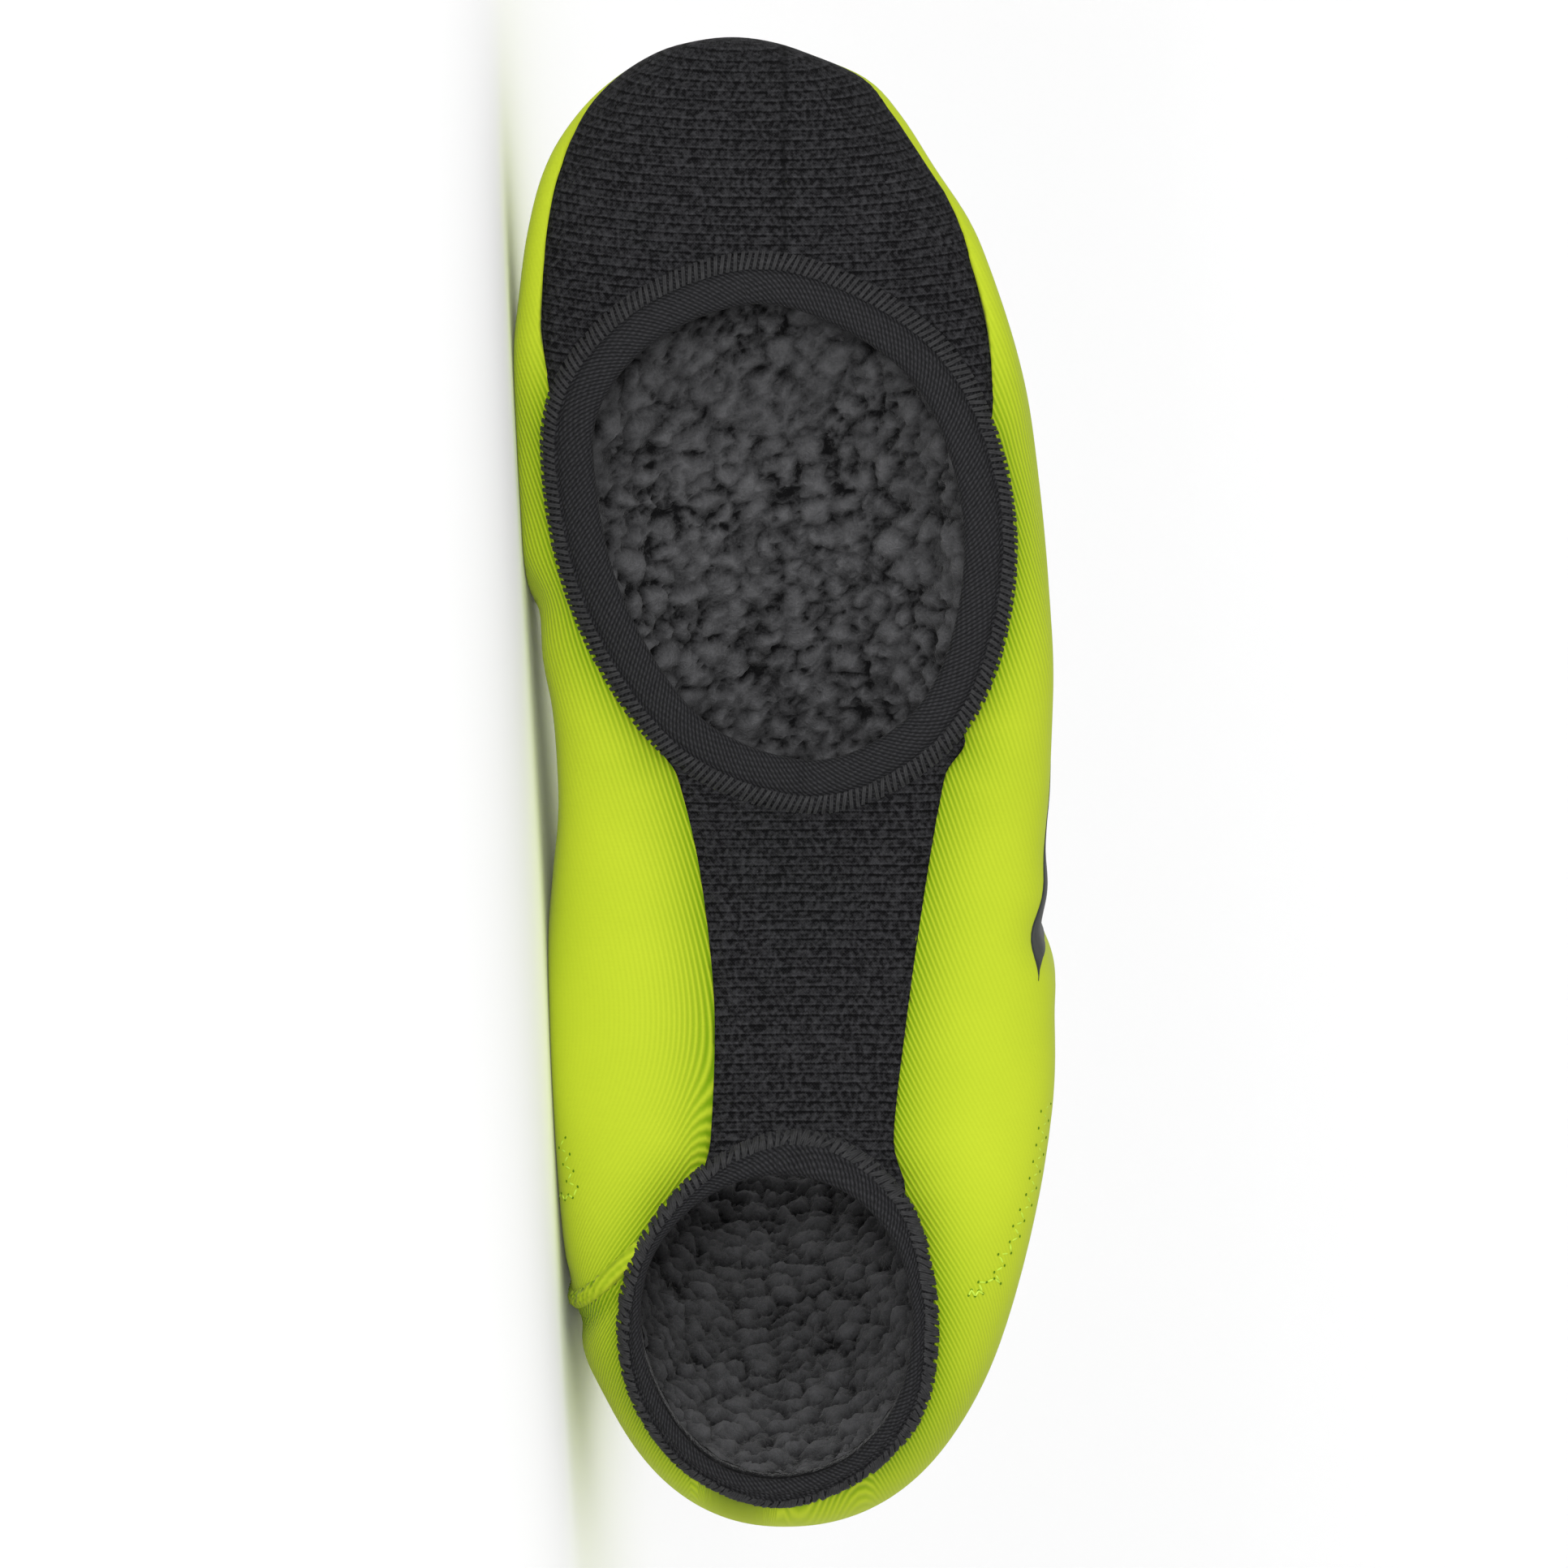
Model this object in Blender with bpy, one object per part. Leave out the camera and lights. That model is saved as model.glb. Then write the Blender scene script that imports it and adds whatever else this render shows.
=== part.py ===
"""A left cycling overshoe: a sock of fleece-backed stretch knit that is pulled over a road shoe.

It has a black woven panel under the toe and another under the arch, a bound opening under the ball for the
cleat and a bound opening under the heel. It is empty, and it lies on its medial side.

The shoe's own frame is used for all of the shaping: X runs from the back of the heel to the toe, Y points to
the lateral side, and Z points from the sole to the instep. One empty turns that frame into the resting pose.
Metres, +Z up.
"""

import math
from collections import namedtuple

import bmesh
import bpy
import numpy as np
from mathutils import Matrix, Vector

# Sizes of the foot
LENGTH = 0.300
BALL_WIDTH = 0.1045
HEEL_WIDTH = 0.1025
INSTEP_HEIGHT = 0.100
SOLE_HOLLOW = 0.0022

# Sizes of the shaft, which leans forward, and of the collar at its top
SHAFT_LENGTH = 0.044
SHAFT_LEAN = math.radians(28)
COLLAR_DEPTH = 0.094
COLLAR_WIDTH = 0.080

# Sizes of the pieces
WALL = 0.0025
GAP = 0.0003
BALL_BINDING_WIDTH = 0.010
BINDING_PROUD = 0.0008
HEM_WIDTH = 0.014
HEM_PROUD = 0.0006
WELT_WIDTH = 0.0032
WELT_PROUD = 0.0009

# How far the soft wall settles where it lies on the floor
SETTLE = 0.0017
SETTLE_EASE = 0.0008

# Cells between two rows of a section table, and cells round half a section
CELLS_BETWEEN_ROWS = 2
CELLS_ROUND_HALF = 17

# Sections from the toe to the arch stand upright. Their place is a share of LENGTH, their heights are shares of
# INSTEP_HEIGHT and their widths are shares of BALL_WIDTH. "widest" is the share of the way from top to sole at
# which the section is widest, and the rounds are the powers of the curves above and below that place.
Upright = namedtuple("Upright", "along top sole medial lateral middle widest top_round sole_round")
FOREFOOT = (
    Upright(1.0000, 0.205, 0.205, 0.100, -0.100, -0.100, 0.50, 2.1, 2.2),
    Upright(0.9973, 0.268, 0.145, 0.171, -0.030, -0.100, 0.50, 2.1, 2.2),
    Upright(0.9897, 0.328, 0.102, 0.245, 0.042, -0.098, 0.52, 2.1, 2.3),
    Upright(0.9723, 0.390, 0.070, 0.325, 0.155, -0.086, 0.54, 2.1, 2.4),
    Upright(0.9467, 0.440, 0.049, 0.396, 0.223, -0.075, 0.56, 2.1, 2.6),
    Upright(0.9130, 0.485, 0.031, 0.457, 0.285, -0.060, 0.60, 2.1, 2.8),
    Upright(0.8700, 0.525, 0.017, 0.492, 0.363, -0.042, 0.63, 2.1, 3.0),
    Upright(0.8200, 0.562, 0.007, 0.510, 0.418, -0.030, 0.65, 2.1, 3.1),
    Upright(0.7630, 0.602, 0.001, 0.522, 0.461, -0.020, 0.66, 2.1, 3.2),
    Upright(0.7030, 0.648, 0.000, 0.520, 0.486, -0.010, 0.67, 2.1, 3.2),
    Upright(0.6400, 0.704, 0.006, 0.495, 0.502, 0.000, 0.69, 2.1, 3.2),
    Upright(0.5730, 0.775, 0.030, 0.446, 0.509, 0.000, 0.71, 2.1, 3.2),
    Upright(0.5000, 0.880, 0.062, 0.429, 0.504, 0.000, 0.73, 2.1, 3.2),
)

# Sections round the heel fan out from the throat, each between a point at the throat and one on the sole or the
# back of the heel. Places along are shares of LENGTH, heights of INSTEP_HEIGHT, and widths of HEEL_WIDTH.
Fanned = namedtuple("Fanned", "top_along top sole_along sole medial lateral widest top_round sole_round")
HEEL = (
    Fanned(0.4803, 0.924, 0.4267, 0.080, 0.455, 0.506, 0.735, 2.3, 3.2),
    Fanned(0.4730, 0.944, 0.3467, 0.065, 0.470, 0.524, 0.735, 2.4, 3.2),
    Fanned(0.4673, 0.966, 0.2667, 0.035, 0.467, 0.530, 0.735, 2.5, 3.1),
    Fanned(0.4640, 0.984, 0.1867, 0.010, 0.450, 0.505, 0.730, 2.5, 3.0),
    Fanned(0.4620, 0.998, 0.1133, 0.008, 0.432, 0.473, 0.720, 2.6, 2.8),
    Fanned(0.4610, 1.009, 0.0500, 0.055, 0.411, 0.441, 0.690, 2.6, 2.5),
    Fanned(0.4603, 1.018, 0.0117, 0.170, 0.384, 0.410, 0.660, 2.6, 2.3),
    Fanned(0.4600, 1.027, 0.0010, 0.340, 0.366, 0.388, 0.640, 2.6, 2.2),
    Fanned(0.4600, 1.037, 0.0117, 0.560, 0.356, 0.373, 0.610, 2.6, 2.15),
    Fanned(0.4603, 1.050, 0.0433, 0.800, 0.358, 0.371, 0.590, 2.5, 2.15),
    Fanned(0.4610, 1.066, 0.0900, 1.040, 0.363, 0.373, 0.570, 2.5, 2.2),
    Fanned(0.4623, 1.086, 0.1367, 1.270, 0.370, 0.377, 0.550, 2.4, 2.2),
    Fanned(0.4647, 1.115, 0.1667, 1.430, 0.375, 0.380, 0.530, 2.3, 2.2),
)

# Sections of the shaft lie square across it. "rise" is the share of SHAFT_LENGTH above the ankle, and depths and
# widths are shares of the collar's.
Across = namedtuple("Across", "rise depth medial lateral widest round")
SHAFT = (
    Across(0.25, 0.990, 0.485, 0.490, 0.51, 2.2),
    Across(0.50, 0.985, 0.487, 0.492, 0.50, 2.2),
    Across(0.75, 0.990, 0.491, 0.497, 0.50, 2.2),
    Across(1.00, 1.000, 0.495, 0.505, 0.50, 2.2),
)
ANKLE_ALONG = 0.3130
ANKLE_HEIGHT = 1.261

# Outlines under the sole: "along" is a share of LENGTH and "across" of BALL_WIDTH, lateral positive
Spot = namedtuple("Spot", "along across")
BALL_OPENING = (
    Spot(0.8187, -0.071),
    Spot(0.8080, 0.080),
    Spot(0.7720, 0.236),
    Spot(0.7190, 0.318),
    Spot(0.6540, 0.347),
    Spot(0.5840, 0.310),
    Spot(0.5400, 0.225),
    Spot(0.5155, 0.070),
    Spot(0.5300, -0.100),
    Spot(0.5650, -0.215),
    Spot(0.6290, -0.316),
    Spot(0.6970, -0.361),
    Spot(0.7500, -0.354),
    Spot(0.7950, -0.245),
)
HEEL_OPENING = (
    Spot(0.2405, -0.012),
    Spot(0.2270, 0.125),
    Spot(0.1900, 0.218),
    Spot(0.1370, 0.247),
    Spot(0.0860, 0.215),
    Spot(0.0470, 0.120),
    Spot(0.0335, -0.020),
    Spot(0.0480, -0.150),
    Spot(0.0880, -0.240),
    Spot(0.1370, -0.277),
    Spot(0.1860, -0.252),
    Spot(0.2250, -0.150),
)
HEEL_BINDING_EDGE = (
    Spot(0.2713, 0.020),
    Spot(0.2590, 0.140),
    Spot(0.2240, 0.238),
    Spot(0.1800, 0.277),
    Spot(0.1300, 0.288),
    Spot(0.0800, 0.262),
    Spot(0.0400, 0.160),
    Spot(0.0175, -0.010),
    Spot(0.0400, -0.180),
    Spot(0.0830, -0.280),
    Spot(0.1310, -0.312),
    Spot(0.1800, -0.289),
    Spot(0.2230, -0.216),
    Spot(0.2560, -0.108),
)
ARCH_EDGE = (
    Spot(0.5400, -0.235),
    Spot(0.5033, -0.198),
    Spot(0.4387, -0.155),
    Spot(0.3523, -0.128),
    Spot(0.2660, -0.135),
    Spot(0.2200, -0.150),
    Spot(0.1800, 0.000),
    Spot(0.2200, 0.215),
    Spot(0.2660, 0.205),
    Spot(0.3523, 0.233),
    Spot(0.4387, 0.270),
    Spot(0.5033, 0.303),
    Spot(0.5400, 0.325),
    Spot(0.6000, 0.000),
)

# The toe panel's seam runs round the toe at these heights, shares of INSTEP_HEIGHT, and drops to the ball binding
SeamHeight = namedtuple("SeamHeight", "along medial lateral")
TOE_SEAM = (
    SeamHeight(0.700, 0.000, 0.000),
    SeamHeight(0.745, 0.046, 0.052),
    SeamHeight(0.775, 0.058, 0.064),
    SeamHeight(0.805, 0.073, 0.076),
    SeamHeight(0.850, 0.086, 0.094),
    SeamHeight(0.875, 0.096, 0.120),
    SeamHeight(0.895, 0.107, 0.150),
    SeamHeight(0.915, 0.118, 0.158),
    SeamHeight(0.935, 0.150, 0.160),
    SeamHeight(0.955, 0.192, 0.172),
    SeamHeight(0.970, 0.218, 0.200),
    SeamHeight(0.985, 0.226, 0.222),
    SeamHeight(1.000, 0.224, 0.224),
)
SOLE_EDGE_HEIGHT = 0.30

# The raised seam follows a plane through three points: on the heel binding's edge, on the medial side and at the
# collar. "along" is a share of LENGTH, "across" of HEEL_WIDTH and "height" of INSTEP_HEIGHT.
SeamPoint = namedtuple("SeamPoint", "along across height")
MEDIAL_SEAM = (
    SeamPoint(0.1877, -0.289, 0.020),
    SeamPoint(0.1580, -0.416, 0.250),
    SeamPoint(0.2900, -0.290, 1.830),
)
SEAM_SIDE = -0.22

Colour = namedtuple("Colour", "red green blue roughness")
COLOURS = {
    "neon stretch knit": Colour(0.62, 0.82, 0.04, 0.75),
    "black ripstop weave": Colour(0.020, 0.020, 0.021, 0.80),
    "black binding knit": Colour(0.014, 0.014, 0.015, 0.70),
}

# A sheet is an open surface of triangles, with the outward direction at each of its points and its measures: how far
# the point is from each line that the overshoe is cut along
Sheet = namedtuple("Sheet", "points outward measures faces")
Measures = namedtuple("Measures", "ball_opening heel_opening heel_binding arch toe_seam medial_seam seam_side collar")


def clear_scene():
    for item in list(bpy.data.objects):
        bpy.data.objects.remove(item, do_unlink=True)


def upright_rows():
    """The toe and arch sections: top and sole points, then medial, lateral, middle, widest and the two rounds."""
    rows = []
    for row in FOREFOOT:
        along = row.along * LENGTH
        rows.append(
            (along, row.top * INSTEP_HEIGHT, along, row.sole * INSTEP_HEIGHT)
            + (row.medial * BALL_WIDTH, row.lateral * BALL_WIDTH, row.middle * BALL_WIDTH)
            + (row.widest, row.top_round, row.sole_round)
        )
    return rows


def fanned_rows():
    rows = []
    for row in HEEL:
        rows.append(
            (row.top_along * LENGTH, row.top * INSTEP_HEIGHT, row.sole_along * LENGTH, row.sole * INSTEP_HEIGHT)
            + (row.medial * HEEL_WIDTH, row.lateral * HEEL_WIDTH, 0.0)
            + (row.widest, row.top_round, row.sole_round)
        )
    return rows


def shaft_centre(rise):
    """The middle of the shaft, in X and Z, at a share of its length above the ankle."""
    climb = rise * SHAFT_LENGTH
    along = ANKLE_ALONG * LENGTH + climb * math.sin(SHAFT_LEAN)
    return along, ANKLE_HEIGHT * INSTEP_HEIGHT + climb * math.cos(SHAFT_LEAN)


def shaft_rows():
    rows = []
    for row in SHAFT:
        along, height = shaft_centre(row.rise)
        reach = row.depth * COLLAR_DEPTH / 2
        forward = reach * math.cos(SHAFT_LEAN)
        down = reach * math.sin(SHAFT_LEAN)
        rows.append(
            (along + forward, height - down, along - forward, height + down)
            + (row.medial * COLLAR_WIDTH, row.lateral * COLLAR_WIDTH, 0.0)
            + (row.widest, row.round, row.round)
        )
    return rows


def smoothed(rows, cells):
    """Rows on one smooth curve through the given rows, that many cells from each to the next."""
    rows = np.array(rows)
    # The curve leaves the tip of the toe square to the shoe's length, so its neighbour is mirrored through it
    before = 2 * rows[0] - rows[1]
    before[[0, 2]] = rows[1][[0, 2]]
    after = 2 * rows[-1] - rows[-2]
    ends = np.vstack([before, rows, after])
    found = []
    for start in range(len(rows) - 1):
        a, b, c, d = ends[start : start + 4]
        for t in np.arange(cells) / cells:
            slope = (c - a) * t + (2 * a - 5 * b + 4 * c - d) * t**2 + (3 * b - a - 3 * c + d) * t**3
            found.append(b + slope / 2)
    found.append(rows[-1])
    return found


def half_section(row, side, cells):
    """Points from the sole's middle round one side to the top's middle, side +1 being lateral."""
    top = np.array([row[0], row[1]])
    sole = np.array([row[2], row[3]])
    reach = row[5] if side > 0 else row[4]
    middle, widest, top_round, sole_round = row[6], row[7], row[8], row[9]
    half_width = reach - side * middle
    turn = np.linspace(0, math.pi, 181)
    below = turn < math.pi / 2
    power = np.where(below, 2 / sole_round, 2 / top_round)
    out = np.sin(turn) ** power
    down = np.abs(np.cos(turn)) ** power
    share = np.where(below, widest + (1 - widest) * down, widest * (1 - down))
    plan = top + share[:, None] * (sole - top)
    curve = np.column_stack([plan[:, 0], middle + side * half_width * out, plan[:, 1]])
    steps = np.linalg.norm(np.diff(curve, axis=0), axis=1)
    walked = np.concatenate([[0], np.cumsum(steps)])
    # Cells are smaller under the sole than over the instep
    even = np.linspace(0, 1, cells + 1)
    wanted = (0.72 * even + 0.28 * even**2) * walked[-1]
    return np.column_stack([np.interp(wanted, walked, curve[:, k]) for k in range(3)])


def hollowed(points):
    """The sole is pulled up along its middle under the arch, where the strip is stretched between the bindings."""
    along = points[:, 0] / LENGTH
    under_arch = np.exp(-(((along - 0.37) / 0.13) ** 2))
    near_middle = np.exp(-(((points[:, 1] / BALL_WIDTH - 0.06) / 0.24) ** 2))
    low = points[:, 2] < SOLE_EDGE_HEIGHT * INSTEP_HEIGHT
    points = points.copy()
    points[:, 2] += np.where(low, SOLE_HOLLOW * under_arch * near_middle, 0)
    return points


def grid_faces(rings, around):
    """Triangles of a tube whose point 0 is its tip and whose rings follow, each with that many points."""
    faces = []
    for j in range(around):
        faces.append((0, 1 + j, 1 + (j + 1) % around))
    for i in range(rings - 1):
        for j in range(around):
            a = 1 + i * around + j
            b = 1 + i * around + (j + 1) % around
            faces.append((a, a + around, b + around))
            faces.append((a, b + around, b))
    return np.array(faces)


def outward_directions(points, faces):
    corners = points[faces]
    across = np.cross(corners[:, 1] - corners[:, 0], corners[:, 2] - corners[:, 0])
    total = np.zeros_like(points)
    for k in range(3):
        np.add.at(total, faces[:, k], across)
    return total / np.linalg.norm(total, axis=1, keepdims=True)


def last_surface():
    """The outer surface of the whole overshoe, a tube that is closed at the toe and open at the collar."""
    rows = smoothed(upright_rows() + fanned_rows() + shaft_rows(), CELLS_BETWEEN_ROWS)
    rings = []
    for row in rows[1:]:
        lateral = half_section(row, 1, CELLS_ROUND_HALF)
        medial = half_section(row, -1, CELLS_ROUND_HALF)
        rings.append(np.vstack([lateral, medial[-2:0:-1]]))
    tip = np.array([[rows[0][0], rows[0][6], rows[0][1]]])
    points = hollowed(np.vstack([tip] + rings))
    faces = grid_faces(len(rings), 2 * CELLS_ROUND_HALF)
    outward = outward_directions(points, faces)
    if (outward[0] @ np.array([1.0, 0, 0])) < 0:
        faces = faces[:, ::-1]
        outward = -outward
    return measured(points, outward, faces)


def measured(points, outward, faces):
    measures = Measures(
        ball_opening=outside(points, BALL_OPENING),
        heel_opening=outside(points, HEEL_OPENING),
        heel_binding=outside(points, HEEL_BINDING_EDGE),
        arch=outside(points, ARCH_EDGE),
        toe_seam=above_toe_seam(points, outward),
        medial_seam=ahead_of_medial_seam(points),
        seam_side=points[:, 1] - SEAM_SIDE * HEEL_WIDTH,
        collar=below_collar(points),
    )
    return Sheet(points, outward, np.column_stack(measures), faces)


def closed_curve(spots, steps=12):
    """A smooth closed outline through the spots, in metres."""
    knots = np.array([(spot.along * LENGTH, spot.across * BALL_WIDTH) for spot in spots])
    found = []
    for k in range(len(knots)):
        a, b, c, d = knots[[k - 1, k, (k + 1) % len(knots), (k + 2) % len(knots)]]
        for t in np.arange(steps) / steps:
            slope = (c - a) * t + (2 * a - 5 * b + 4 * c - d) * t**2 + (3 * b - a - 3 * c + d) * t**3
            found.append(b + slope / 2)
    return np.array(found)


def outside(points, spots):
    """Each point's distance outside an outline under the sole, negative inside it."""
    curve = closed_curve(spots)
    ahead = np.roll(curve, -1, axis=0)
    here = points[:, None, :2]
    side = ahead - curve
    share = np.clip(((here - curve) * side).sum(axis=2) / (side**2).sum(axis=1), 0, 1)
    gap = np.linalg.norm(here - curve - share[..., None] * side, axis=2).min(axis=1)
    crosses = (curve[:, 1] > here[..., 1]) != (ahead[:, 1] > here[..., 1])
    rise = np.where(side[:, 1] == 0, 1, side[:, 1])
    meets = curve[:, 0] + (here[..., 1] - curve[:, 1]) * side[:, 0] / rise
    inside = (crosses & (here[..., 0] < meets)).sum(axis=1) % 2 == 1
    low = points[:, 2] < SOLE_EDGE_HEIGHT * INSTEP_HEIGHT
    return np.where(low, np.where(inside, -gap, gap), LENGTH)


def above_toe_seam(points, outward):
    """Each point's distance above the seam round the toe, measured along the surface."""
    along = points[:, 0] / LENGTH
    places = [row.along for row in TOE_SEAM]
    medial = np.interp(along, places, [row.medial for row in TOE_SEAM])
    lateral = np.interp(along, places, [row.lateral for row in TOE_SEAM])
    middle = FOREFOOT[0].middle * BALL_WIDTH
    side = np.clip((points[:, 1] - middle) / (0.1 * BALL_WIDTH), -1, 1)
    seam = INSTEP_HEIGHT * (medial * (1 - side) + lateral * (1 + side)) / 2
    steepness = np.clip(np.hypot(outward[:, 0], outward[:, 1]), 0.3, 1)
    return (points[:, 2] - seam) / steepness


def ahead_of_medial_seam(points):
    """Each point's distance ahead of the raised seam's plane."""
    first, second, third = [
        np.array([row.along * LENGTH, row.across * HEEL_WIDTH, row.height * INSTEP_HEIGHT])
        for row in MEDIAL_SEAM
    ]
    normal = np.cross(second - first, third - first)
    normal /= np.linalg.norm(normal)
    if normal[0] < 0:
        normal = -normal
    return (points - first) @ normal


def below_collar(points):
    """Each point's distance from the collar's plane, down the shaft."""
    along, height = shaft_centre(1.0)
    down = (along - points[:, 0]) * math.sin(SHAFT_LEAN)
    return down + (height - points[:, 2]) * math.cos(SHAFT_LEAN)


def kept(sheet, *tests):
    """The part of a sheet where any of the tests on its measures is over zero, split on the lines themselves."""
    values = np.column_stack([test(Measures(*sheet.measures.T)) for test in tests])
    values = np.where(np.abs(values) < GAP / 6, 0, values)
    table = [tuple(row) for row in np.hstack([sheet.points, sheet.outward, sheet.measures, values])]
    faces = [tuple(face) for face in sheet.faces]
    first_test = 6 + len(Measures._fields)
    for column in range(first_test, first_test + len(tests)):
        faces = split_on_zero(table, faces, column)
    table = np.array(table)
    faces = np.array(faces)
    held = (table[:, first_test:][faces].mean(axis=1) > 0).any(axis=1)
    return Sheet(table[:, :3], table[:, 3:6], table[:, 6:first_test], faces[held])


def split_on_zero(table, faces, column):
    """The faces, with each one that the column's zero line crosses split on it. New points join the table."""
    made = {}

    def crossing(i, j):
        low, high = min(i, j), max(i, j)
        if (low, high) not in made:
            first, last = np.array(table[low]), np.array(table[high])
            point = first + (last - first) * first[column] / (first[column] - last[column])
            point[column] = 0
            made[(low, high)] = len(table)
            table.append(tuple(point))
        return made[(low, high)]

    found = []
    for face in faces:
        side = [table[k][column] for k in face]
        if min(side) >= 0 or max(side) <= 0:
            found.append(face)
            continue
        above, below = [], []
        for k in range(3):
            i, j = face[k], face[(k + 1) % 3]
            if side[k] >= 0:
                above.append(i)
            if side[k] <= 0:
                below.append(i)
            if side[k] * side[(k + 1) % 3] < 0:
                above.append(crossing(i, j))
                below.append(crossing(i, j))
        for ring in (above, below):
            for k in range(1, len(ring) - 1):
                found.append((ring[0], ring[k], ring[k + 1]))
    return found


def resting_matrix(whole):
    """The pose in which the ball, the heel's side and the collar lie on the floor, on the medial side."""
    toe_left = Matrix(((-1, 0, 0), (0, 0, 1), (0, 1, 0)))
    turn = np.array(toe_left)
    along, height = whole.points[:, 0] / LENGTH, whole.points[:, 2] / INSTEP_HEIGHT
    hem = below_collar(whole.points) < HEM_WIDTH
    skin = whole.points + np.where(hem, HEM_PROUD, 0)[:, None] * whole.outward
    zones = [along > 0.55, (along < 0.42) & (height < 0.45), hem]
    for _ in range(6):
        placed = skin @ turn.T
        feet = [placed[zone][np.argmin(placed[zone][:, 2])] for zone in zones]
        up = np.cross(feet[1] - feet[0], feet[2] - feet[0])
        up *= np.sign(up[2])
        square = Vector(up).rotation_difference(Vector((0, 0, 1))).to_matrix()
        turn = np.array(square) @ turn
    placed = skin @ turn.T
    low = placed.min(axis=0)
    high = placed.max(axis=0)
    shift = Vector((-(low[0] + high[0]) / 2, -(low[1] + high[1]) / 2, -low[2] - SETTLE))
    return Matrix.Translation(shift) @ Matrix(turn.tolist()).to_4x4()


def settled(points, pose):
    """How far each point is pushed up, in the resting pose, so that it lies on the floor and not under it."""
    height = points @ np.array(pose)[2, :3] + pose[2][3]
    eased = (height + SETTLE_EASE) ** 2 / (4 * SETTLE_EASE)
    rest = np.where(height < -SETTLE_EASE, 0, np.where(height < SETTLE_EASE, eased, height))
    return rest - height


def solid(name, sheet, proud, finish, pose):
    """A closed solid from a sheet: its outer face stands proud of the sheet and its inner face is WALL inside it."""
    used = np.unique(sheet.faces)
    index = np.zeros(len(sheet.points), int)
    index[used] = np.arange(len(used))
    faces = index[sheet.faces]
    outer = sheet.points[used] + proud * sheet.outward[used]
    inner = sheet.points[used] - WALL * sheet.outward[used]
    up = np.array(pose)[2, :3]
    lift = settled(outer, pose)[:, None] * up
    mesh = bmesh.new()
    outer_points = [mesh.verts.new(p) for p in outer + lift]
    inner_points = [mesh.verts.new(p) for p in inner + lift]
    edges = {}
    for face in faces:
        mesh.faces.new([outer_points[k] for k in face])
        mesh.faces.new([inner_points[k] for k in reversed(face)])
        for k in range(3):
            edges[(face[k], face[(k + 1) % 3])] = True
    for i, j in edges:
        if (j, i) not in edges:
            mesh.faces.new([outer_points[j], outer_points[i], inner_points[i], inner_points[j]])
    data = bpy.data.meshes.new(name)
    mesh.to_mesh(data)
    mesh.free()
    data.shade_smooth()
    data.set_sharp_from_angle(angle=math.radians(40))
    data.materials.append(bpy.data.materials[finish])
    return bpy.data.objects.new(name, data)


def make_materials():
    for name, colour in COLOURS.items():
        material = bpy.data.materials.new(name)
        material.use_nodes = True
        shader = material.node_tree.nodes["Principled BSDF"]
        shader.inputs["Base Color"].default_value = (colour.red, colour.green, colour.blue, 1)
        shader.inputs["Roughness"].default_value = colour.roughness


def upper_sheet(whole):
    sheet = kept(whole, lambda m: m.collar - HEM_WIDTH - GAP)
    sheet = kept(sheet, lambda m: m.ball_opening - BALL_BINDING_WIDTH - GAP / 2)
    sheet = kept(sheet, lambda m: m.heel_binding - GAP / 2)
    sheet = kept(sheet, lambda m: m.toe_seam - GAP / 2)
    sheet = kept(sheet, lambda m: m.arch - GAP / 2)
    reach = WELT_WIDTH / 2 + GAP
    return kept(
        sheet,
        lambda m: m.medial_seam - reach,
        lambda m: -m.medial_seam - reach,
        lambda m: m.seam_side,
    )


def toe_panel_sheet(whole):
    sheet = kept(whole, lambda m: -m.toe_seam - GAP / 2)
    return kept(sheet, lambda m: m.ball_opening - BALL_BINDING_WIDTH - GAP / 2)


def arch_panel_sheet(whole):
    sheet = kept(whole, lambda m: -m.arch - GAP / 2)
    sheet = kept(sheet, lambda m: m.ball_opening - BALL_BINDING_WIDTH - GAP / 2)
    return kept(sheet, lambda m: m.heel_binding - GAP / 2)


def ball_binding_sheet(whole):
    sheet = kept(whole, lambda m: BALL_BINDING_WIDTH - m.ball_opening - GAP / 2)
    return kept(sheet, lambda m: m.ball_opening)


def heel_binding_sheet(whole):
    sheet = kept(whole, lambda m: -m.heel_binding - GAP / 2)
    return kept(sheet, lambda m: m.heel_opening)


def welt_sheet(whole):
    sheet = kept(whole, lambda m: WELT_WIDTH / 2 - m.medial_seam)
    sheet = kept(sheet, lambda m: WELT_WIDTH / 2 + m.medial_seam)
    sheet = kept(sheet, lambda m: -m.seam_side - GAP)
    sheet = kept(sheet, lambda m: m.heel_binding - GAP / 2)
    return kept(sheet, lambda m: m.collar - HEM_WIDTH - GAP)


def hem_sheet(whole):
    return kept(whole, lambda m: HEM_WIDTH - m.collar)


def main():
    clear_scene()
    make_materials()
    collection = bpy.data.collections.new("overshoe")
    bpy.context.scene.collection.children.link(collection)
    whole = last_surface()
    pose = resting_matrix(whole)
    rest = bpy.data.objects.new("overshoe_at_rest", None)
    rest.matrix_world = pose
    collection.objects.link(rest)
    pieces = (
        ("upper", upper_sheet, 0.0, "neon stretch knit"),
        ("seam_welt", welt_sheet, WELT_PROUD, "neon stretch knit"),
        ("toe_panel", toe_panel_sheet, 0.0, "black ripstop weave"),
        ("arch_panel", arch_panel_sheet, 0.0, "black ripstop weave"),
        ("ball_binding", ball_binding_sheet, BINDING_PROUD, "black binding knit"),
        ("heel_binding", heel_binding_sheet, BINDING_PROUD, "black binding knit"),
        ("collar_hem", hem_sheet, HEM_PROUD, "black binding knit"),
    )
    for name, sheet_of, proud, finish in pieces:
        piece = solid(name, sheet_of(whole), proud, finish, pose)
        piece.parent = rest
        collection.objects.link(piece)


main()
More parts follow.
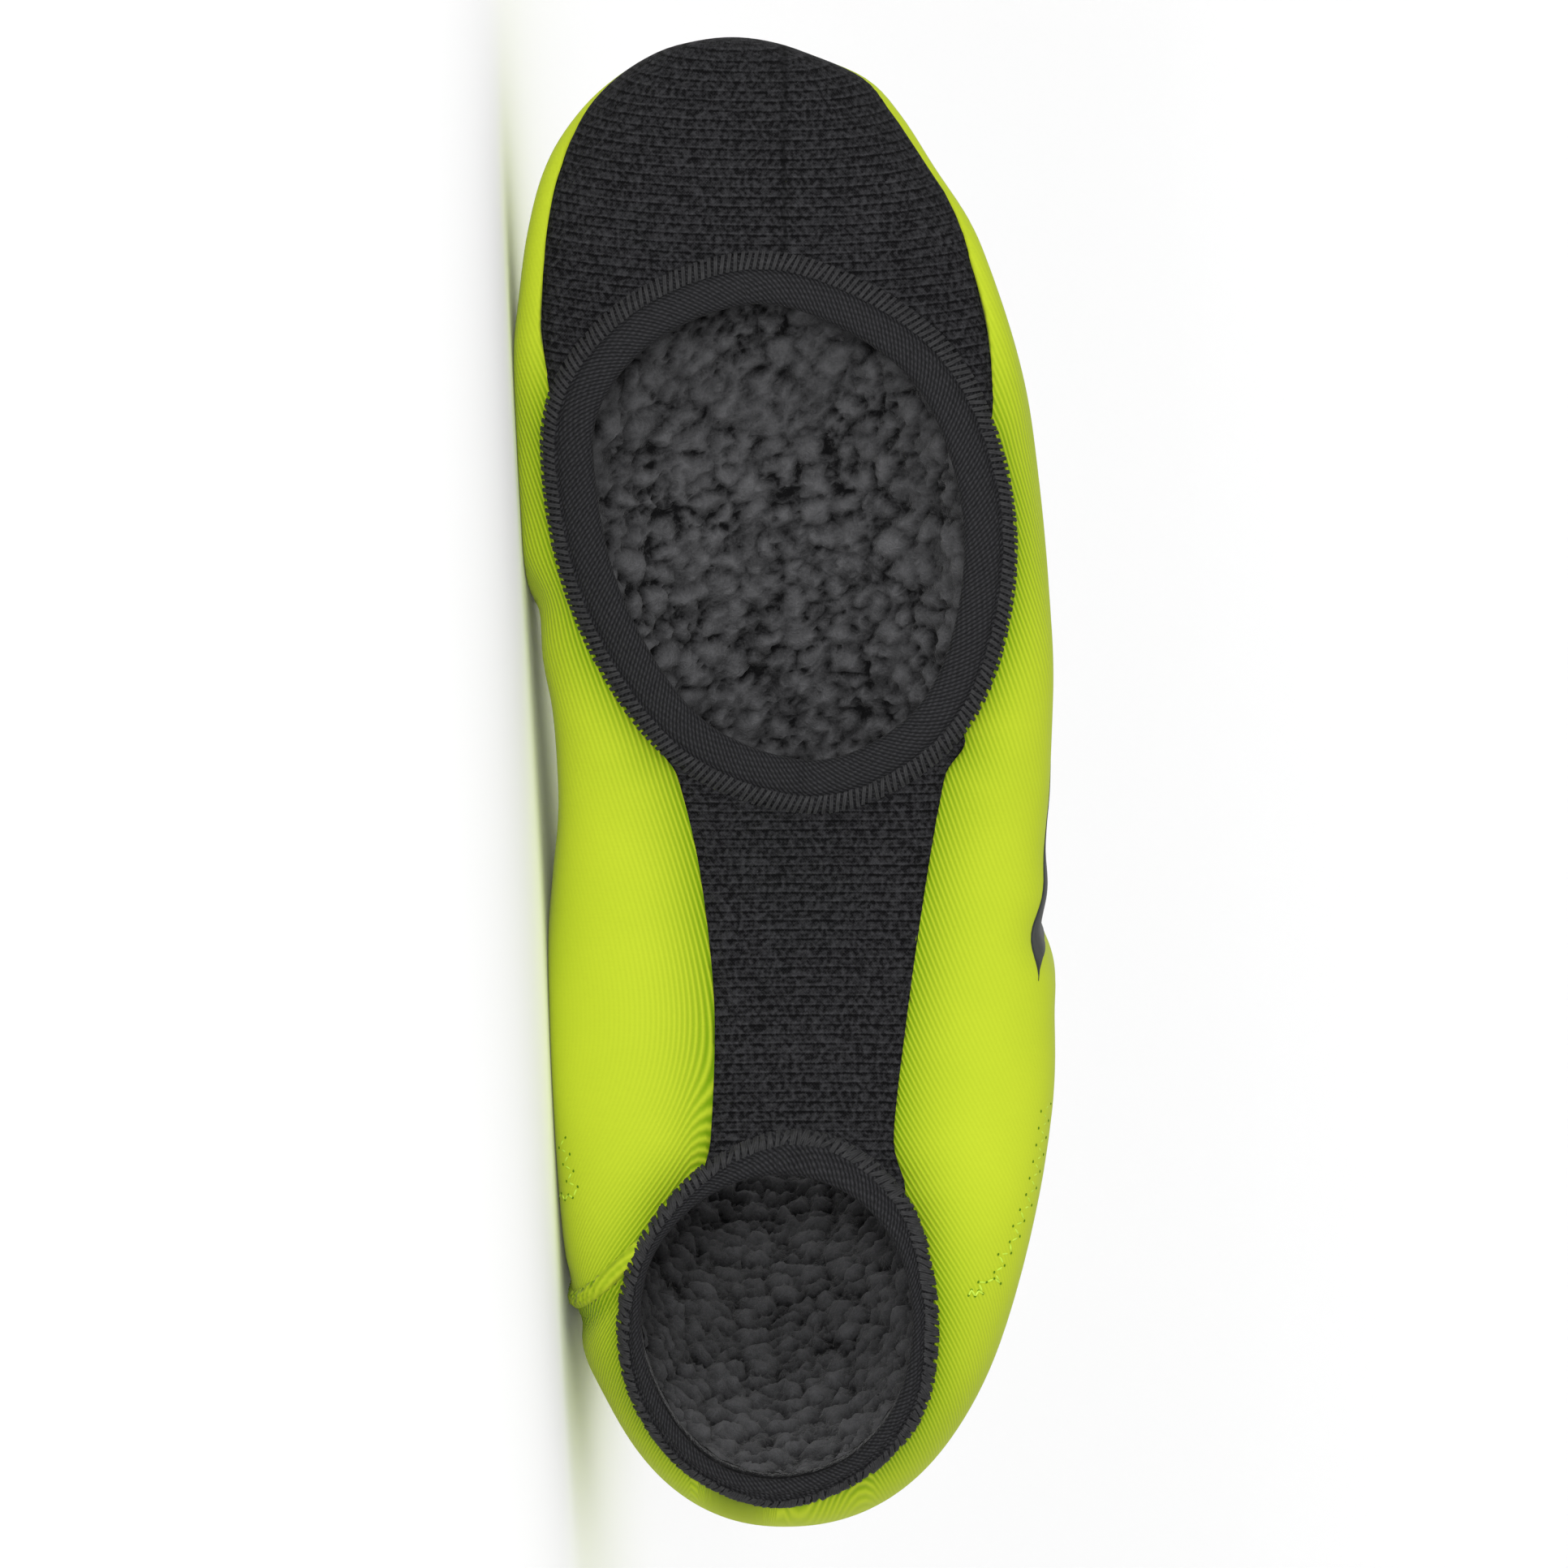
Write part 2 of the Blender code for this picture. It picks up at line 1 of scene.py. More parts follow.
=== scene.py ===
"""Dresses the left cycling overshoe: neon ribbed knit, black woven panels, bindings, stitches and fleece.

The overshoe lies on its medial side. The shoe's own frame is used for all of the shaping: X runs from the
back of the heel to the toe, Y points to the lateral side, and Z points from the sole to the instep. The last
thing done to each mesh is the turn into the resting pose, which is worked out as it is for the solids.
"""

import logging
import math
from dataclasses import dataclass, field
from enum import Enum
from typing import Callable, NamedTuple, Optional, Sequence, Union

import bpy
import numpy as np
from mathutils import Matrix, Vector, noise
from mathutils.bvhtree import BVHTree


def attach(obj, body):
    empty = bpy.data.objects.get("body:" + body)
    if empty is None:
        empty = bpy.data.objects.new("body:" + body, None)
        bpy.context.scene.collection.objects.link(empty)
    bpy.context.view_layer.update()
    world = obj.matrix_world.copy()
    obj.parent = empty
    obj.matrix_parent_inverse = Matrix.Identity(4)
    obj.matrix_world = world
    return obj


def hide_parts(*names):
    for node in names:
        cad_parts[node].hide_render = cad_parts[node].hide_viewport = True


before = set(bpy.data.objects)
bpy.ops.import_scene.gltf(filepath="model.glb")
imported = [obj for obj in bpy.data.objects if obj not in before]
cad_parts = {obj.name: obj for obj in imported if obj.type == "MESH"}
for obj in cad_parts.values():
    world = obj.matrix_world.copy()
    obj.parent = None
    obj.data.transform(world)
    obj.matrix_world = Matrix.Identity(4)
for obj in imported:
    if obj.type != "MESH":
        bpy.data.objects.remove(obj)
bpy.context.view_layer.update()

logging.basicConfig(level=logging.INFO, format="%(name)s: %(message)s")
LOG = logging.getLogger("overshoe")

MM = 0.001

# What goes into a node: a socket, or a value for it
Field = Union[bpy.types.NodeSocket, float, Sequence[float]]


class Slot(Enum):
    """The record's material slots."""

    NEON = "neon_stretch_knit"
    WEAVE = "black_ripstop_weave"
    BINDING = "black_binding_knit"
    FLEECE = "fleece"


class Side(Enum):
    """The two sides of the foot, by the sign of Y."""

    MEDIAL = -1
    LATERAL = 1


class Upright(NamedTuple):
    """A section that stands upright. Shares of the length, the instep's height and the ball's width."""

    along: float
    top: float
    sole: float
    medial: float
    lateral: float
    middle: float
    widest: float
    top_round: float
    sole_round: float


class Fanned(NamedTuple):
    """A section between the throat and the sole or heel. Widths are shares of the heel's width."""

    top_along: float
    top: float
    sole_along: float
    sole: float
    medial: float
    lateral: float
    widest: float
    top_round: float
    sole_round: float


class Across(NamedTuple):
    """A section square across the shaft, at a share of its length. Shares of the collar's depth and width."""

    rise: float
    depth: float
    medial: float
    lateral: float
    widest: float
    round: float


class Spot(NamedTuple):
    """A point of an outline under the sole: a share of the length and one of the ball's width."""

    along: float
    across: float


class SeamHeight(NamedTuple):
    """The toe seam's height on both sides, as shares of the instep's height."""

    along: float
    medial: float
    lateral: float


class SeamPoint(NamedTuple):
    """A point of the raised seam: shares of the length, the heel's width and the instep's height."""

    along: float
    across: float
    height: float


class Crease(NamedTuple):
    """A soft trough down a side, from one place to another, in millimetres along and above the sole."""

    side: Side
    start: tuple[float, float]
    end: tuple[float, float]
    depth: float
    width: float


class Swell(NamedTuple):
    """A soft wave of the knit beside an edge: its height, its width and its place, in millimetres."""

    height: float
    width: float
    centre: float = 0.0


ARCH_SWELLS = (Swell(-1.9, 8), Swell(0.9, 9, 19))
BALL_SWELLS = (Swell(-1.0, 4.5), Swell(0.5, 5, 9))
HEEL_SWELLS = (Swell(-1.3, 5),)
TOE_SWELLS = (Swell(0.45, 3, 4), Swell(-0.5, 1.2))
SEAM_SWELLS = (Swell(-1.1, 2.6, -4.2), Swell(-0.35, 2.0, 3.6), Swell(0.5, 5, -11))
FOREFOOT = (
    Upright(1.0000, 0.205, 0.205, 0.100, -0.100, -0.100, 0.50, 2.1, 2.2),
    Upright(0.9973, 0.268, 0.145, 0.171, -0.030, -0.100, 0.50, 2.1, 2.2),
    Upright(0.9897, 0.328, 0.102, 0.245, 0.042, -0.098, 0.52, 2.1, 2.3),
    Upright(0.9723, 0.390, 0.070, 0.325, 0.155, -0.086, 0.54, 2.1, 2.4),
    Upright(0.9467, 0.440, 0.049, 0.396, 0.223, -0.075, 0.56, 2.1, 2.6),
    Upright(0.9130, 0.485, 0.031, 0.457, 0.285, -0.060, 0.60, 2.1, 2.8),
    Upright(0.8700, 0.525, 0.017, 0.492, 0.363, -0.042, 0.63, 2.1, 3.0),
    Upright(0.8200, 0.562, 0.007, 0.510, 0.418, -0.030, 0.65, 2.1, 3.1),
    Upright(0.7630, 0.602, 0.001, 0.522, 0.461, -0.020, 0.66, 2.1, 3.2),
    Upright(0.7030, 0.648, 0.000, 0.520, 0.486, -0.010, 0.67, 2.1, 3.2),
    Upright(0.6400, 0.704, 0.006, 0.495, 0.502, 0.000, 0.69, 2.1, 3.2),
    Upright(0.5730, 0.775, 0.030, 0.446, 0.509, 0.000, 0.71, 2.1, 3.2),
    Upright(0.5000, 0.880, 0.062, 0.429, 0.504, 0.000, 0.73, 2.1, 3.2),
)
HEEL = (
    Fanned(0.4803, 0.924, 0.4267, 0.080, 0.455, 0.506, 0.735, 2.3, 3.2),
    Fanned(0.4730, 0.944, 0.3467, 0.065, 0.470, 0.524, 0.735, 2.4, 3.2),
    Fanned(0.4673, 0.966, 0.2667, 0.035, 0.467, 0.530, 0.735, 2.5, 3.1),
    Fanned(0.4640, 0.984, 0.1867, 0.010, 0.450, 0.505, 0.730, 2.5, 3.0),
    Fanned(0.4620, 0.998, 0.1133, 0.008, 0.432, 0.473, 0.720, 2.6, 2.8),
    Fanned(0.4610, 1.009, 0.0500, 0.055, 0.411, 0.441, 0.690, 2.6, 2.5),
    Fanned(0.4603, 1.018, 0.0117, 0.170, 0.384, 0.410, 0.660, 2.6, 2.3),
    Fanned(0.4600, 1.027, 0.0010, 0.340, 0.366, 0.388, 0.640, 2.6, 2.2),
    Fanned(0.4600, 1.037, 0.0117, 0.560, 0.356, 0.373, 0.610, 2.6, 2.15),
    Fanned(0.4603, 1.050, 0.0433, 0.800, 0.358, 0.371, 0.590, 2.5, 2.15),
    Fanned(0.4610, 1.066, 0.0900, 1.040, 0.363, 0.373, 0.570, 2.5, 2.2),
    Fanned(0.4623, 1.086, 0.1367, 1.270, 0.370, 0.377, 0.550, 2.4, 2.2),
    Fanned(0.4647, 1.115, 0.1667, 1.430, 0.375, 0.380, 0.530, 2.3, 2.2),
)
SHAFT = (
    Across(0.25, 0.990, 0.485, 0.490, 0.51, 2.2),
    Across(0.50, 0.985, 0.487, 0.492, 0.50, 2.2),
    Across(0.75, 0.990, 0.491, 0.497, 0.50, 2.2),
    Across(1.00, 1.000, 0.495, 0.505, 0.50, 2.2),
)
BALL_OPENING = (
    Spot(0.8187, -0.071),
    Spot(0.8080, 0.080),
    Spot(0.7720, 0.236),
    Spot(0.7190, 0.318),
    Spot(0.6540, 0.347),
    Spot(0.5840, 0.310),
    Spot(0.5400, 0.225),
    Spot(0.5155, 0.070),
    Spot(0.5300, -0.100),
    Spot(0.5650, -0.215),
    Spot(0.6290, -0.316),
    Spot(0.6970, -0.361),
    Spot(0.7500, -0.354),
    Spot(0.7950, -0.245),
)
HEEL_OPENING = (
    Spot(0.2405, -0.012),
    Spot(0.2270, 0.125),
    Spot(0.1900, 0.218),
    Spot(0.1370, 0.247),
    Spot(0.0860, 0.215),
    Spot(0.0470, 0.120),
    Spot(0.0335, -0.020),
    Spot(0.0480, -0.150),
    Spot(0.0880, -0.240),
    Spot(0.1370, -0.277),
    Spot(0.1860, -0.252),
    Spot(0.2250, -0.150),
)
HEEL_BINDING_EDGE = (
    Spot(0.2713, 0.020),
    Spot(0.2590, 0.140),
    Spot(0.2240, 0.238),
    Spot(0.1800, 0.277),
    Spot(0.1300, 0.288),
    Spot(0.0800, 0.262),
    Spot(0.0400, 0.160),
    Spot(0.0175, -0.010),
    Spot(0.0400, -0.180),
    Spot(0.0830, -0.280),
    Spot(0.1310, -0.312),
    Spot(0.1800, -0.289),
    Spot(0.2230, -0.216),
    Spot(0.2560, -0.108),
)
ARCH_EDGE = (
    Spot(0.5400, -0.235),
    Spot(0.5033, -0.198),
    Spot(0.4387, -0.155),
    Spot(0.3523, -0.128),
    Spot(0.2660, -0.135),
    Spot(0.2200, -0.150),
    Spot(0.1800, 0.000),
    Spot(0.2200, 0.215),
    Spot(0.2660, 0.205),
    Spot(0.3523, 0.233),
    Spot(0.4387, 0.270),
    Spot(0.5033, 0.303),
    Spot(0.5400, 0.325),
    Spot(0.6000, 0.000),
)
TOE_SEAM = (
    SeamHeight(0.700, 0.000, 0.000),
    SeamHeight(0.745, 0.046, 0.052),
    SeamHeight(0.775, 0.058, 0.064),
    SeamHeight(0.805, 0.073, 0.076),
    SeamHeight(0.850, 0.086, 0.094),
    SeamHeight(0.875, 0.096, 0.120),
    SeamHeight(0.895, 0.107, 0.150),
    SeamHeight(0.915, 0.118, 0.158),
    SeamHeight(0.935, 0.150, 0.160),
    SeamHeight(0.955, 0.192, 0.172),
    SeamHeight(0.970, 0.218, 0.200),
    SeamHeight(0.985, 0.226, 0.222),
    SeamHeight(1.000, 0.224, 0.224),
)
MEDIAL_SEAM = (
    SeamPoint(0.1877, -0.289, 0.020),
    SeamPoint(0.1580, -0.416, 0.250),
    SeamPoint(0.2900, -0.290, 1.830),
)
CREASES = (
    Crease(Side.LATERAL, (119.0, 20.0), (128.0, 62.0), 1.5, 5.0),
    Crease(Side.LATERAL, (150.0, 84.0), (104.0, 66.0), 2.0, 6.0),
    Crease(Side.LATERAL, (146.0, 97.0), (98.0, 92.0), 2.2, 6.5),
    Crease(Side.LATERAL, (143.0, 112.0), (96.0, 122.0), 1.8, 6.0),
    Crease(Side.LATERAL, (34.0, 60.0), (76.0, 40.0), 1.2, 7.0),
    Crease(Side.MEDIAL, (187.0, 14.0), (176.0, 40.0), 1.2, 5.0),
    Crease(Side.MEDIAL, (150.0, 86.0), (108.0, 70.0), 1.7, 6.0),
    Crease(Side.MEDIAL, (146.0, 99.0), (100.0, 96.0), 2.0, 6.5),
    Crease(Side.MEDIAL, (142.0, 114.0), (100.0, 126.0), 1.5, 6.0),
)


class Measures(NamedTuple):
    """How far a point is from each line that the cloth is cut along, and its place round the foot."""

    ball_opening: np.ndarray
    heel_opening: np.ndarray
    heel_binding: np.ndarray
    arch: np.ndarray
    toe_seam: np.ndarray
    medial_seam: np.ndarray
    seam_side: np.ndarray
    collar: np.ndarray
    girth: np.ndarray
    side: np.ndarray


@dataclass
class Sheet:
    """An open surface of triangles, with its outward directions and its measures at each point."""

    points: np.ndarray
    outward: np.ndarray
    table: np.ndarray
    faces: np.ndarray

    @property
    def measures(self) -> Measures:
        """The measures' columns by name."""
        return Measures(*self.table.T)

    def girths(self) -> np.ndarray:
        """The length walked round the foot at each corner of each face, with its side's sign."""
        sign = np.sign(self.measures.side[self.faces].sum(axis=1))
        return (self.measures.girth[self.faces] * sign[:, None]).ravel()

    def kept(self, *tests: Callable[[Measures], np.ndarray]) -> "Sheet":
        """The part of the sheet where any of the tests is over zero, cut on the lines themselves.

        Args:
            tests: Functions of the measures.

        Returns:
            A sheet with only the points that its faces use.
        """
        values = np.column_stack([test(self.measures) for test in tests])
        values = np.where(np.abs(values) < 0.05 * MM, 0, values)
        rows = np.hstack([self.points, self.outward, self.table, values])
        faces = self.faces
        first_test = 6 + self.table.shape[1]
        for column in range(first_test, rows.shape[1]):
            rows, faces = split_on_zero(rows, faces, column)
        held = (rows[:, first_test:][faces].mean(axis=1) > 0).any(axis=1)
        used, faces = np.unique(faces[held], return_inverse=True)
        rows = rows[used]
        return Sheet(rows[:, :3], rows[:, 3:6], rows[:, 6:first_test], faces.reshape(-1, 3))


def split_on_zero(rows: np.ndarray, faces: np.ndarray, column: int) -> tuple[np.ndarray, np.ndarray]:
    """Splits each triangle that a column's zero line crosses, on that line.

    Args:
        rows: One row of values for each point.
        faces: Triangles, by the numbers of their points.
        column: The column whose zero line cuts.

    Returns:
        The rows with the new points below them, and all the triangles.
    """
    side = np.sign(rows[faces, column])
    crossed = (side.min(axis=1) < 0) & (side.max(axis=1) > 0)
    whole, cut, side = faces[~crossed], faces[crossed], side[crossed]
    if not len(cut):
        return rows, faces
    # The corner that stands alone, or the corner on the line, comes first
    has_zero = (side == 0).any(axis=1)
    odd_one = np.where(side.sum(axis=1) > 0, -1, 1)
    first = np.where(has_zero, np.argmax(side == 0, axis=1), np.argmax(side == odd_one[:, None], axis=1))
    turn = (first[:, None] + np.arange(3)) % 3
    cut = np.take_along_axis(cut, turn, axis=1)
    a, b, c = cut.T
    through = cut[has_zero]
    alone = cut[~has_zero]
    edges = np.vstack([alone[:, [0, 1]], alone[:, [2, 0]], through[:, [1, 2]]])
    ends, back = np.unique(np.sort(edges, axis=1), axis=0, return_inverse=True)
    low, high = rows[ends[:, 0]], rows[ends[:, 1]]
    share = low[:, column] / (low[:, column] - high[:, column])
    new = low + share[:, None] * (high - low)
    new[:, column] = 0
    number = len(rows) + back.reshape(-1)
    count = len(alone)
    ab, ca, bc = number[:count], number[count : 2 * count], number[2 * count :]
    a, b, c = alone.T
    d, e, f = through.T
    pieces = [
        whole,
        np.column_stack([a, ab, ca]),
        np.column_stack([ab, b, c]),
        np.column_stack([ab, c, ca]),
        np.column_stack([d, e, bc]),
        np.column_stack([d, bc, f]),
    ]
    return np.vstack([rows, new]), np.vstack(pieces)


def cubic(knots: np.ndarray, steps: int) -> np.ndarray:
    """Points from the second of four knots up to the third, on the smooth curve through all of them."""
    a, b, c, d = knots
    t = (np.arange(steps) / steps)[:, None]
    slope = (c - a) * t + (2 * a - 5 * b + 4 * c - d) * t**2 + (3 * b - a - 3 * c + d) * t**3
    return b + slope / 2


def closed_curve(knots: np.ndarray, steps: int = 12) -> np.ndarray:
    """A smooth closed curve through the knots.

    Args:
        knots: Points, in order round the curve.
        steps: Points on the curve from each knot to the next.

    Returns:
        The curve's points.
    """
    count = len(knots)
    near = [[k - 1, k, (k + 1) % count, (k + 2) % count] for k in range(count)]
    return np.vstack([cubic(knots[four], steps) for four in near])


def walked_along(points: np.ndarray) -> np.ndarray:
    """The length walked along a line of points, at each of them."""
    return np.concatenate([[0], np.cumsum(np.linalg.norm(np.diff(points, axis=0), axis=1))])


@dataclass
class Last:
    """The shape of the slack overshoe as it lies, with the lines that its cloth is cut along."""

    length: float = 0.300
    ball_width: float = 0.1045
    heel_width: float = 0.1025
    instep_height: float = 0.100
    sole_hollow: float = 0.0022
    hollow_along: float = 0.37
    hollow_reach: float = 0.13
    hollow_across: float = 0.06
    hollow_spread: float = 0.24
    shaft_length: float = 0.044
    shaft_lean: float = math.radians(28)
    collar_depth: float = 0.094
    collar_width: float = 0.080
    ankle_along: float = 0.3130
    ankle_height: float = 1.261
    sole_edge_height: float = 0.30
    seam_side: float = -0.22
    hem_width: float = 0.014
    hem_proud: float = 0.0006
    settle: float = 0.0017
    settle_ease: float = 0.0008
    pose_cells: tuple[int, int] = (2, 17)
    pose: np.ndarray = field(init=False)

    def __post_init__(self) -> None:
        """Works out the resting pose from the same cells as the solids have."""
        between, around = self.pose_cells
        rows = self.rows()
        self.pose = self.resting_matrix(self.surface([between] * (len(rows) - 1), around))

    def rows(self) -> np.ndarray:
        """All the sections, as top and sole points, medial, lateral, middle, widest and the two rounds."""
        long, high, ball, heel = self.length, self.instep_height, self.ball_width, self.heel_width
        rows = []
        for r in FOREFOOT:
            place = (r.along * long, r.top * high, r.along * long, r.sole * high)
            rows.append(place + (r.medial * ball, r.lateral * ball, r.middle * ball, *r[6:]))
        for r in HEEL:
            place = (r.top_along * long, r.top * high, r.sole_along * long, r.sole * high)
            rows.append(place + (r.medial * heel, r.lateral * heel, 0.0, *r[6:]))
        for r in SHAFT:
            along, height = self.shaft_centre(r.rise)
            reach = r.depth * self.collar_depth / 2
            forward, down = reach * math.cos(self.shaft_lean), reach * math.sin(self.shaft_lean)
            place = (along + forward, height - down, along - forward, height + down)
            widths = (r.medial * self.collar_width, r.lateral * self.collar_width, 0.0)
            rows.append(place + widths + (r.widest, r.round, r.round))
        return np.array(rows)

    def shaft_centre(self, rise: float) -> tuple[float, float]:
        """The middle of the shaft, in X and Z, at a share of its length above the ankle."""
        climb = rise * self.shaft_length
        along = self.ankle_along * self.length + climb * math.sin(self.shaft_lean)
        return along, self.ankle_height * self.instep_height + climb * math.cos(self.shaft_lean)

    def smoothed(self, rows: np.ndarray, cells: Sequence[int]) -> np.ndarray:
        """Rows on one smooth curve through the given rows.

        Args:
            rows: The sections' rows.
            cells: How many cells lie from each row to the next.

        Returns:
            The finer rows.
        """
        before = 2 * rows[0] - rows[1]
        before[[0, 2]] = rows[1][[0, 2]]
        ends = np.vstack([before, rows, 2 * rows[-1] - rows[-2]])
        found = [cubic(ends[start : start + 4], count) for start, count in enumerate(cells)]
        return np.vstack(found + [rows[-1:]])

    def half_section(self, row: np.ndarray, side: Side, cells: int) -> np.ndarray:
        """Points from the sole's middle round one side to the top's middle.

        Args:
            row: One section.
            side: The side of the foot.
            cells: Cells along the half section.

        Returns:
            The points, with the length walked from the sole's middle as a fourth column.
        """
        top, sole = row[[0, 1]], row[[2, 3]]
        reach = row[5] if side is Side.LATERAL else row[4]
        middle, widest, top_round, sole_round = row[6:]
        turn = np.linspace(0, math.pi, 181)
        below = turn < math.pi / 2
        power = np.where(below, 2 / sole_round, 2 / top_round)
        out = np.sin(turn) ** power
        down = np.abs(np.cos(turn)) ** power
        share = np.where(below, widest + (1 - widest) * down, widest * (1 - down))
        plan = top + share[:, None] * (sole - top)
        across = middle + side.value * (reach - side.value * middle) * out
        curve = np.column_stack([plan[:, 0], across, plan[:, 1]])
        walked = walked_along(curve)
        even = np.linspace(0, 1, cells + 1)
        wanted = (0.72 * even + 0.28 * even**2) * walked[-1]
        return np.column_stack([np.interp(wanted, walked, curve[:, k]) for k in range(3)] + [wanted])

    def surface(self, between: Sequence[int], around: int) -> Sheet:
        """The outer surface, a tube that is closed at the toe and open at the collar.

        Args:
            between: Cells from each section to the next.
            around: Cells round half a section.

        Returns:
            The whole sheet with its measures.
        """
        rows = self.smoothed(self.rows(), between)
        rings = []
        sides = np.concatenate([[0], np.ones(around - 1), [0], -np.ones(around - 1)])
        for row in rows[1:]:
            lateral = self.half_section(row, Side.LATERAL, around)
            medial = self.half_section(row, Side.MEDIAL, around)
            rings.append(np.column_stack([np.vstack([lateral, medial[-2:0:-1]]), sides]))
        tip = np.array([[rows[0][0], rows[0][6], rows[0][1], 0, 0]])
        places = np.vstack([tip] + rings)
        points = self.hollowed(places[:, :3])
        count, ring = 2 * around, np.arange(2 * around)
        following = (ring + 1) % count
        fan = np.column_stack([0 * ring, 1 + ring, 1 + following])
        start = 1 + count * np.arange(len(rings) - 1)[:, None]
        a, b = (start + ring).ravel(), (start + following).ravel()
        quads = np.vstack([np.column_stack([a, a + count, b + count]), np.column_stack([a, b + count, b])])
        faces = np.vstack([fan, quads])
        outward = outward_directions(points, faces)
        if outward[0][0] < 0:
            faces, outward = faces[:, ::-1], -outward
        return self.measured(points, outward, faces, places[:, 3], places[:, 4])

    def fine_surface(self, cell: float, around_cell: Optional[float] = None) -> Sheet:
        """The surface with cells of about one size.

        Args:
            cell: The cells' length along the foot.
            around_cell: Their width round the foot, the same if not given.

        Returns:
            The whole sheet.
        """
        rows = self.rows()
        steps = np.abs(np.diff(rows, axis=0))
        walked = np.maximum(np.hypot(steps[:, 0], steps[:, 1]), np.hypot(steps[:, 2], steps[:, 3]))
        between = np.maximum(np.ceil(np.maximum(walked, steps[:, 5]) / cell), 2).astype(int)
        half_girth = 0.150
        return self.surface(list(between), int(half_girth / (around_cell or cell)))

    def hollowed(self, points: np.ndarray) -> np.ndarray:
        """The points, with the sole pulled up along its middle under the arch."""
        under_arch = bell(points[:, 0] / self.length, self.hollow_reach, self.hollow_along)
        near_middle = bell(points[:, 1] / self.ball_width, self.hollow_spread, self.hollow_across)
        low = points[:, 2] < self.sole_edge_height * self.instep_height
        points = points.copy()
        points[:, 2] += np.where(low, self.sole_hollow * under_arch * near_middle, 0)
        return points

    def measured(
        self, points: np.ndarray, outward: np.ndarray, faces: np.ndarray, girth: np.ndarray, side: np.ndarray
    ) -> Sheet:
        """The sheet with all its measures.

        Args:
            points: The surface's points.
            outward: Their outward directions.
            faces: The triangles.
            girth: The length walked round the foot from the sole's middle.
            side: The side's sign, zero on the middle lines.

        Returns:
            The sheet.
        """
        measures = Measures(
            ball_opening=self.outside(points, BALL_OPENING),
            heel_opening=self.outside(points, HEEL_OPENING),
            heel_binding=self.outside(points, HEEL_BINDING_EDGE),
            arch=self.outside(points, ARCH_EDGE),
            toe_seam=self.above_toe_seam(points, outward),
            medial_seam=self.ahead_of_medial_seam(points),
            seam_side=points[:, 1] - self.seam_side * self.heel_width,
            collar=self.below_collar(points),
            girth=girth,
            side=side,
        )
        return Sheet(points, outward, np.column_stack(measures), faces)

    def outline(self, spots: Sequence[Spot], steps: int = 12) -> np.ndarray:
        """A smooth closed outline through the spots, in metres."""
        knots = np.array([(spot.along * self.length, spot.across * self.ball_width) for spot in spots])
        return closed_curve(knots, steps)

    def outside(self, points: np.ndarray, spots: Sequence[Spot]) -> np.ndarray:
        """Each point's distance outside an outline under the sole, negative inside it."""
        found = np.full(len(points), self.length)
        low = points[:, 2] < self.sole_edge_height * self.instep_height
        curve = self.outline(spots)
        ahead = np.roll(curve, -1, axis=0)
        here = points[low][:, None, :2]
        side = ahead - curve
        share = np.clip(((here - curve) * side).sum(axis=2) / (side**2).sum(axis=1), 0, 1)
        gap = np.linalg.norm(here - curve - share[..., None] * side, axis=2).min(axis=1)
        crosses = (curve[:, 1] > here[..., 1]) != (ahead[:, 1] > here[..., 1])
        rise = np.where(side[:, 1] == 0, 1, side[:, 1])
        meets = curve[:, 0] + (here[..., 1] - curve[:, 1]) * side[:, 0] / rise
        inside = (crosses & (here[..., 0] < meets)).sum(axis=1) % 2 == 1
        found[low] = np.where(inside, -gap, gap)
        return found

    def above_toe_seam(self, points: np.ndarray, outward: np.ndarray) -> np.ndarray:
        """Each point's distance above the seam round the toe, measured along the surface."""
        along = points[:, 0] / self.length
        places = [row.along for row in TOE_SEAM]
        medial = np.interp(along, places, [row.medial for row in TOE_SEAM])
        lateral = np.interp(along, places, [row.lateral for row in TOE_SEAM])
        middle = FOREFOOT[0].middle * self.ball_width
        side = np.clip((points[:, 1] - middle) / (0.1 * self.ball_width), -1, 1)
        seam = self.instep_height * (medial * (1 - side) + lateral * (1 + side)) / 2
        return (points[:, 2] - seam) / np.clip(np.hypot(outward[:, 0], outward[:, 1]), 0.3, 1)

    def ahead_of_medial_seam(self, points: np.ndarray) -> np.ndarray:
        """Each point's distance ahead of the raised seam's plane."""
        first, normal = self.medial_plane()
        return (points - first) @ normal

    def medial_plane(self) -> tuple[np.ndarray, np.ndarray]:
        """A point of the raised seam's plane and its normal, towards the toe."""
        size = np.array([self.length, self.heel_width, self.instep_height])
        first, second, third = [np.array(row) * size for row in MEDIAL_SEAM]
        normal = np.cross(second - first, third - first)
        return first, normal * np.sign(normal[0]) / np.linalg.norm(normal)

    def below_collar(self, points: np.ndarray) -> np.ndarray:
        """Each point's distance from the collar's plane, down the shaft."""
        along, height = self.shaft_centre(1.0)
        down = (along - points[:, 0]) * math.sin(self.shaft_lean)
        return down + (height - points[:, 2]) * math.cos(self.shaft_lean)

